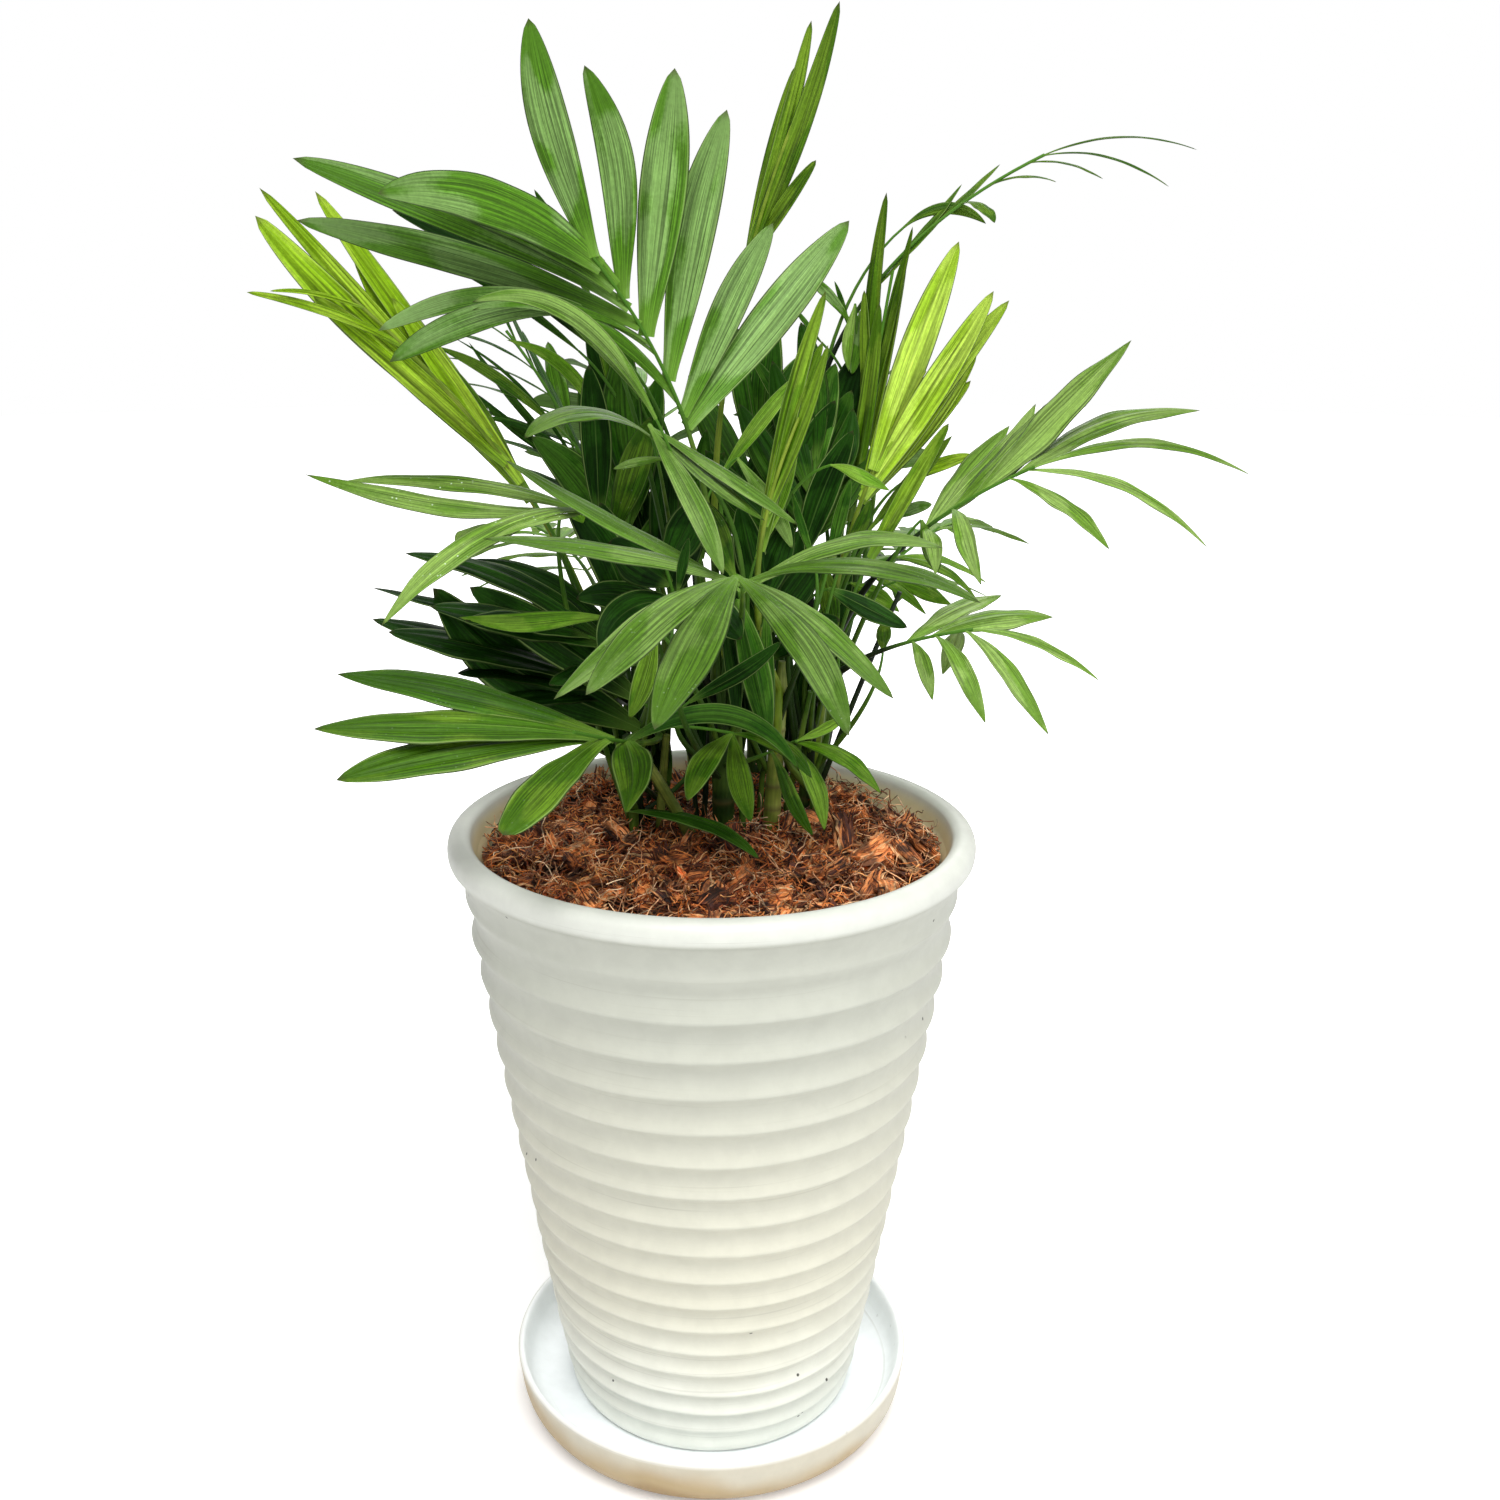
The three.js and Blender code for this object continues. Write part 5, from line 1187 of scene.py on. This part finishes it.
def leaflet(base, face, size, shape, draw):
    """A leaflet: a thin closed blade, folded along its midrib and pleated along its veins."""
    heading, rise, long, wide, droop = size
    steps = np.tile(direction(heading, rise), (ALONG, 1))
    steps[:, 2] -= droop * (np.arange(ALONG) + 0.5) / ALONG
    line = np.vstack([base, base + np.cumsum(unit(steps) * long / ALONG, axis=0)])
    t = np.linspace(0, 1, ALONG + 1)
    way = unit(np.gradient(line, axis=0))
    over = unit(face - (way @ face)[:, None] * way)
    side = np.cross(over, way)
    bow = shape["curl"] * draw.normal() * long * np.sin(math.pi * t) * (0.4 + 0.6 * t)
    line = line + side * bow[:, None]
    twist = draw.normal(0, 0.16) * t ** 1.5 + draw.normal(0, 0.08)
    cos, sin = np.cos(twist)[:, None], np.sin(twist)[:, None]
    side, over = side * cos + over * sin, over * cos - side * sin
    # half the width: a strap with a broad or a thin foot
    t = t[:-1, None]
    body = np.sin(math.pi * np.minimum(t ** shape["peak"], 1)) ** shape["blunt"]
    half = wide / 2 * np.hypot(body, shape["foot"] * (1 - t) ** 1.5)
    s = np.linspace(-1, 1, ACROSS + 1)
    lift = -shape["fold"] * (1 - 0.5 * t) * half * np.abs(s) ** 1.3
    pleat = shape["pleat"] * half / shape["ridges"] * smooth(t, 0, 0.12)
    lift = lift + pleat * np.cos(math.pi * shape["ridges"] * s) * (1 - s ** 4)
    phase = draw.uniform(0, 6.28, 2)
    ripple = np.sin(2.6 * math.pi * t + phase[0]) + 0.5 * np.sin(
        7.0 * math.pi * t + phase[1] * np.sign(s))
    lift = lift + shape["wave"] * half * ripple * s ** 2
    thick = BLADE / 2 * (1 - s ** 2) ** 0.5 * (1 - 0.5 * t) + 0.03

    def sheet(up):
        return (line[:-1, None] + side[:-1, None] * (s * half)[..., None]
                + over[:-1, None] * (lift + up)[..., None])

    ring = np.concatenate([sheet(thick), sheet(-thick)[:, ::-1]], axis=1)
    columns, count = ACROSS + 1, 2 * (ACROSS + 1)
    end, last = (ALONG - 1) * count, ALONG * count
    faces = [face[::-1] for face in ring_faces(ALONG, count)]
    faces += [[last, end + (j + 1) % count, end + j] for j in range(count)]
    faces += [[j, j + 1, count - 2 - j, count - 1 - j] for j in range(columns - 1)]
    across = (s + 1) / 2
    uv = np.stack(np.broadcast_arrays(np.concatenate([across, across[::-1]]), t), -1)
    own = draw.uniform(0.02, 0.96)
    tone = np.tile(np.repeat([own, own + 1], columns), ALONG)
    return (np.concatenate([ring.reshape(-1, 3), [line[-1]]]), faces,
            np.concatenate([uv.reshape(-1, 2), [[0.5, 1]]]), np.concatenate([tone, [own]]))


def cane_point(key, below):
    """A point on a cane's axis, so far below its top."""
    foot, top = cane_ends(key)
    return top + unit(foot - top) * below


def groove(turn):
    """A stalk is a little hollow along one side."""
    return 1 - 0.14 * np.exp(-((turn - math.pi / 2) / 0.5) ** 2)


def frond_parts(row, root, draw):
    """A frond's stalk, and its leaflets, which grow from the spine by the solids' rule."""
    _, cane, tint, collar, tip, face, own_root, sets = row
    root, collar, tip = (np.array(point, float) for point in (root, collar, tip))
    face = unit(face)
    # the spine passes its collar at this share of its way
    a, b = np.linalg.norm(root - collar), np.linalg.norm(collar - tip)
    share = a / (a + b)
    pull = (collar - (1 - share) ** 2 * root - share ** 2 * tip) / (2 * share * (1 - share))
    # the foot of the stalk clasps the cane
    low = np.array([root[0], root[1] + 2, MIX_Z + 8]) if own_root else cane_point(cane, CLASP)
    clasp = np.linspace(0, 1, 10)[:-1]
    foot = low + (root - low) * clasp[:, None]
    foot += (root - low) * [1, 1, 0] * (clasp ** 0.6 - clasp)[:, None]
    steps = np.linspace(0, 1, 44)
    radii = np.concatenate([1.0 + (STALK_RADIUS - 0.9) * np.sin(math.pi * (clasp * 0.7 + 0.05)),
                            STALK_RADIUS + (STALK_TIP_RADIUS - STALK_RADIUS) * smooth(
                                steps, -0.1, 0.9)])
    tone = np.concatenate([0 * clasp, smooth(steps, share * 0.9, share + 0.12)])
    stalk = tube(np.concatenate([foot, bent(root, pull, tip, steps)]), radii, STALK_AROUND,
                 [*np.repeat(tone, STALK_AROUND), 0, 1], groove)
    blades = []
    for n, places, *sizes in sets:
        own = sizes.pop() if isinstance(sizes[-1], dict) else {}
        for k in range(n):
            base = bent(root, pull, tip, share + (1 - share) * pick(places, k, n))
            shape = dict(zip(SHAPE_KEYS, SHAPES[tint]))
            shape.update((key, pick(value, k, n)) for key, value in own.items())
            blades.append(leaflet(base + face * own.get("layer", 0) * k, face,
                                  [pick(value, k, n) for value in sizes], shape, draw))
    return stalk, blades


def stem_tube(foot, bend, top, radius):
    """A bare stalk from its foot over a bend to its top, a little thinner there."""
    t = np.linspace(0, 1, 20)
    path = bent(*(np.array(point, float) for point in (foot, bend, top)), t)
    return tube(path, radius * (1.1 - 0.35 * t), 10, 0.0, groove)


def shoot_parts(row, draw):
    """A single young leaf and the thin stalk that carries it from its cane."""
    tint, cane, base, heading, rise, *_ = row
    foot = cane_point(cane, 4 + 26 * draw.uniform())
    foot[:2] += draw.uniform(-0.8, 0.8, 2)
    reach = np.linalg.norm(base - foot)
    way = direction(heading, rise)
    way[2] = max(way[2], 0.3)
    pull = base - np.clip((base - foot) @ way, 0.02 * reach, 0.3 * reach) * way
    t = np.linspace(0, 1, 26)
    stalk = tube(bent(foot, pull, np.array(base, float), t), 0.85 - 0.5 * t * smooth(t, 0, 1), 8,
                 [*t.repeat(8), 0, 1])
    return stalk, leaflet(np.array(base, float), unit([0.0, -1.0, 0.35]), row[3:],
                          dict(zip(SHAPE_KEYS, SHAPES[tint])), draw)


# ---- camera, light and floor ---------------------------------------------------------------


def studio():
    """The camera at the front view, soft lights, a pale world and a pale round floor."""
    scene = bpy.context.scene
    scene.view_settings.view_transform = "Standard"
    lens = bpy.data.cameras.new("front_camera")
    lens.lens, lens.sensor_width, lens.shift_x = LENS, SENSOR, SHIFT
    lens.sensor_fit = "HORIZONTAL"
    lens.clip_start, lens.clip_end = 0.01, 50
    camera = placed("front_camera", lens)
    camera.location = CAMERA_PLACE
    camera.rotation_euler = (math.radians(90 - LOOK_DOWN), 0, 0)
    scene.camera = camera
    world = bpy.data.worlds.new("pale_room")
    world.use_nodes = True
    scene.world = world
    tree = world.node_tree
    back = tree.nodes["Background"]
    back.inputs[0].default_value = (1, 1, 1, 1)
    back.inputs[1].default_value = 0.5
    seen = wire(tree, "ShaderNodeBackground", {0: (1, 1, 1, 1), 1: 1.0})
    path = wire(tree, "ShaderNodeLightPath", output="Is Camera Ray")
    both = wire(tree, "ShaderNodeMixShader", {0: path, 1: Wire(tree, back.outputs[0]), 2: seen})
    tree.links.new(both.socket, tree.nodes["World Output"].inputs["Surface"])
    for name, place, size, power in LAMPS:
        light = bpy.data.lights.new(name, "AREA")
        light.shape, light.size, light.energy = "DISK", size, power
        lamp = placed(name, light)
        lamp.location = place
        aim = Vector(PLANT_MIDDLE) - Vector(place)
        lamp.rotation_euler = aim.to_track_quat("-Z", "Y").to_euler()
    floor = bpy.data.meshes.new("floor")
    turn = turns(FLOOR_AROUND)
    edge = FLOOR_SIZE * np.stack([np.cos(turn), np.sin(turn), 0 * turn], -1)
    floor.from_pydata(edge.tolist(), [], [list(range(FLOOR_AROUND))])
    return placed("floor", floor)


def floor_finish(group):
    """A pale floor that the camera sees fade to white away from the plant."""
    material = finish_of("pale_floor", group, {
        "Dark": (240, 240, 240), "Light": (246, 246, 246), "Grain": 40.0}, 0.02)
    tree = material.node_tree
    place = wire(tree, "ShaderNodeTexCoord", output="Object")
    away = place.vector("LENGTH", output="Value")
    camera_ray = wire(tree, "ShaderNodeLightPath", output="Is Camera Ray")
    glow = away.step(0.1, 0.5, 0.25, 1.0) * camera_ray
    shader = tree.nodes["Principled BSDF"]
    shader.inputs["Emission Color"].default_value = (1, 1, 1, 1)
    tree.links.new(glow.socket, shader.inputs["Emission Strength"])
    return material


def keep(piece, slot, *nodes):
    """Puts a piece on the part's one body and hides the solids it stands for; its finish, the
    slot, is not used.
    """
    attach(piece, "root")
    if nodes:
        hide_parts(*nodes)
    return piece


def make_pot(glaze, crumb):
    """The saucer, the pot and the potting mix."""
    # the pot's glaze: lighter towards the foot and warm in its lower third for painted bounce
    # light from the floor, darker towards the top for painted shade under the rim, and a lighter
    # lip for painted light on its top
    pot_glaze = finish_of("pot_glaze", glaze, {
        "Top": (190, 192, 180), "Warm": (212, 210, 193), "Foot": (232, 234, 224),
        "Inside": (236, 225, 180), "Foot Z": 0.012, "Warm Z": 0.065, "Top Z": 0.175,
        "Pits": 1.0, "Rim": (217, 219, 210), "Rim Z": 0.1828}, 0.2, 0.0003)
    saucer_glaze = finish_of("saucer_glaze", glaze, {
        "Top": (206, 200, 182), "Warm": (184, 162, 122), "Foot": (162, 132, 84),
        "Inside": (244, 248, 250), "Foot Z": 0.0, "Warm Z": 0.006, "Top Z": 0.0165,
        "Pits": 0.15, "Rim": (240, 240, 236), "Rim Z": 0.0165}, 0.1, 0.0003)
    keep(saucer_piece(saucer_glaze), "saucer_glaze", "saucer")
    keep(pot_piece(pot_glaze), "pot_glaze", "pot")
    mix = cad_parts["potting_mix"]
    mix.data.materials.clear()
    mix.data.materials.append(finish_of("potting_mix", crumb, {
        "Dark": (34, 24, 16), "Light": (88, 62, 42), "Grain": 420.0}, 0.8, 0.001))


def make_husk(coir):
    """The bed of husk, its chips and its loose strands."""
    # painted shade: the bed's colours are darker than the chips', for the gaps between chips and
    # strands
    bed = keep(husk_bed(finish_of("husk_bed", coir, {
        "Dark": (26, 12, 7), "Rust": (92, 44, 20), "Straw": (140, 78, 36), "Straw Share": 0.4},
        0.9, 0.0012)), "husk", "husk")
    keep(husk_chips(finish_of("husk_chip", coir, {
        "Dark": (72, 30, 14), "Rust": (224, 134, 70), "Straw": (255, 212, 156),
        "Straw Share": 0.78}, 0.8, 0.0006)), "husk")
    strands = fibres_tree()
    for kind, (dark, rust, straw, values) in FIBRES.items():
        finish = finish_of("fibres_" + kind, coir, {
            "Dark": dark, "Rust": rust, "Straw": straw, "Straw Share": 0.8}, 0.2)
        values = {**dict(zip(FIBRE_KEYS, values)), "Finish": finish}
        keep(husk_fibres(strands, bed, "fibres_" + kind, values), "husk")


def make_canes(stem):
    """The canes and their sheaths."""
    shells = cane_shells()
    for name, skin, tint, pale, scar, share, bump, gloss in (
            ("canes_green", "cane_skin", (28, 52, 14), (58, 84, 26), (84, 76, 40), 0.7, 0.3, 0.2),
            ("canes_yellow", "cane_skin_yellow", (112, 132, 46), (160, 172, 78), (92, 84, 44),
             0.9, 0.3, 0.5),
            ("sheaths", "sheath_skin", (30, 56, 16), (66, 92, 34), (84, 76, 40), 0.0, 0.4, 0.2)):
        finish = finish_of(skin, stem, {"Tint": tint, "Pale": pale, "Scar": scar,
                                        "Scar Share": share}, bump, gloss=gloss)
        nodes = [f"cane_{key}" for key in CANES if name != "sheaths"
                 and (key in YELLOW_CANES) == (name == "canes_yellow")]
        keep(shells[name].mesh(name, finish), "cane", *nodes)


def make_crown(leaf, stem):
    """The stalks, one piece for each of their finishes, and the leaflets, one for each tint."""
    roots = {}
    for key in CANES:
        roots.update(roots_of(key))
    draw = np.random.default_rng(LEAF_SEED)
    stalks, blades, names = {}, {}, {}
    for row in FRONDS:
        name, tint = row[0], row[2]
        stalk, leaves = frond_parts(row, row[6] or roots[name], draw)
        # the dark stalk finish is painted shade
        kind = "dark" if name in SHADED_STALKS else "yellow" if name in YELLOW_STALKS else "green"
        stalks.setdefault(kind, Shell()).add(*stalk)
        for made in leaves:
            blades.setdefault(tint, Shell()).add(*made)
        for group in (kind, tint):
            names.setdefault(group, []).append("frond_" + name)
    for row in SHOOTS:
        stalk, made = shoot_parts(row, draw)
        # shoots in the shaded tints get the dark stalks, painted shade as well
        stalks["dark" if row[0] in ("inner", "deep_shade") else "green"].add(*stalk)
        blades[row[0]].add(*made)
    for kind, *shape in STEMS:
        stalks.setdefault(kind, Shell()).add(*stem_tube(*shape))
    for kind, (tint, pale, scars) in STALK_TINTS.items():
        finish = finish_of(f"stalk_{kind}", stem, {
            "Tint": tint, "Pale": pale, "Scar": (72, 118, 30), "Scar Share": scars}, 0.2,
            gloss=0.2)
        keep(stalks[kind].mesh(f"stalks_{kind}", finish), "leaf", *names.get(kind, []))
    for tint, shell in blades.items():
        full, pale, veins, sheen_cloud, specks, gloss = TINTS[tint]
        finish = finish_of(f"leaf_{tint}", leaf, {
            "Tint": full, "Pale": pale, "Sheen Cloud": sheen_cloud, "Veins": veins, "Speck Share": specks},
            0.45, gloss=gloss)
        keep(shell.mesh(f"leaflets_{tint}", finish, 75), "leaf", *names[tint])


leaf, stem, glaze, coir, crumb = (make() for make in (
    leaf_surface, stem_surface, glaze_surface, coir_surface, crumb_surface))
floor = studio()
floor.data.materials.append(floor_finish(crumb))
make_pot(glaze, crumb)
make_husk(coir)
make_canes(stem)
make_crown(leaf, stem)
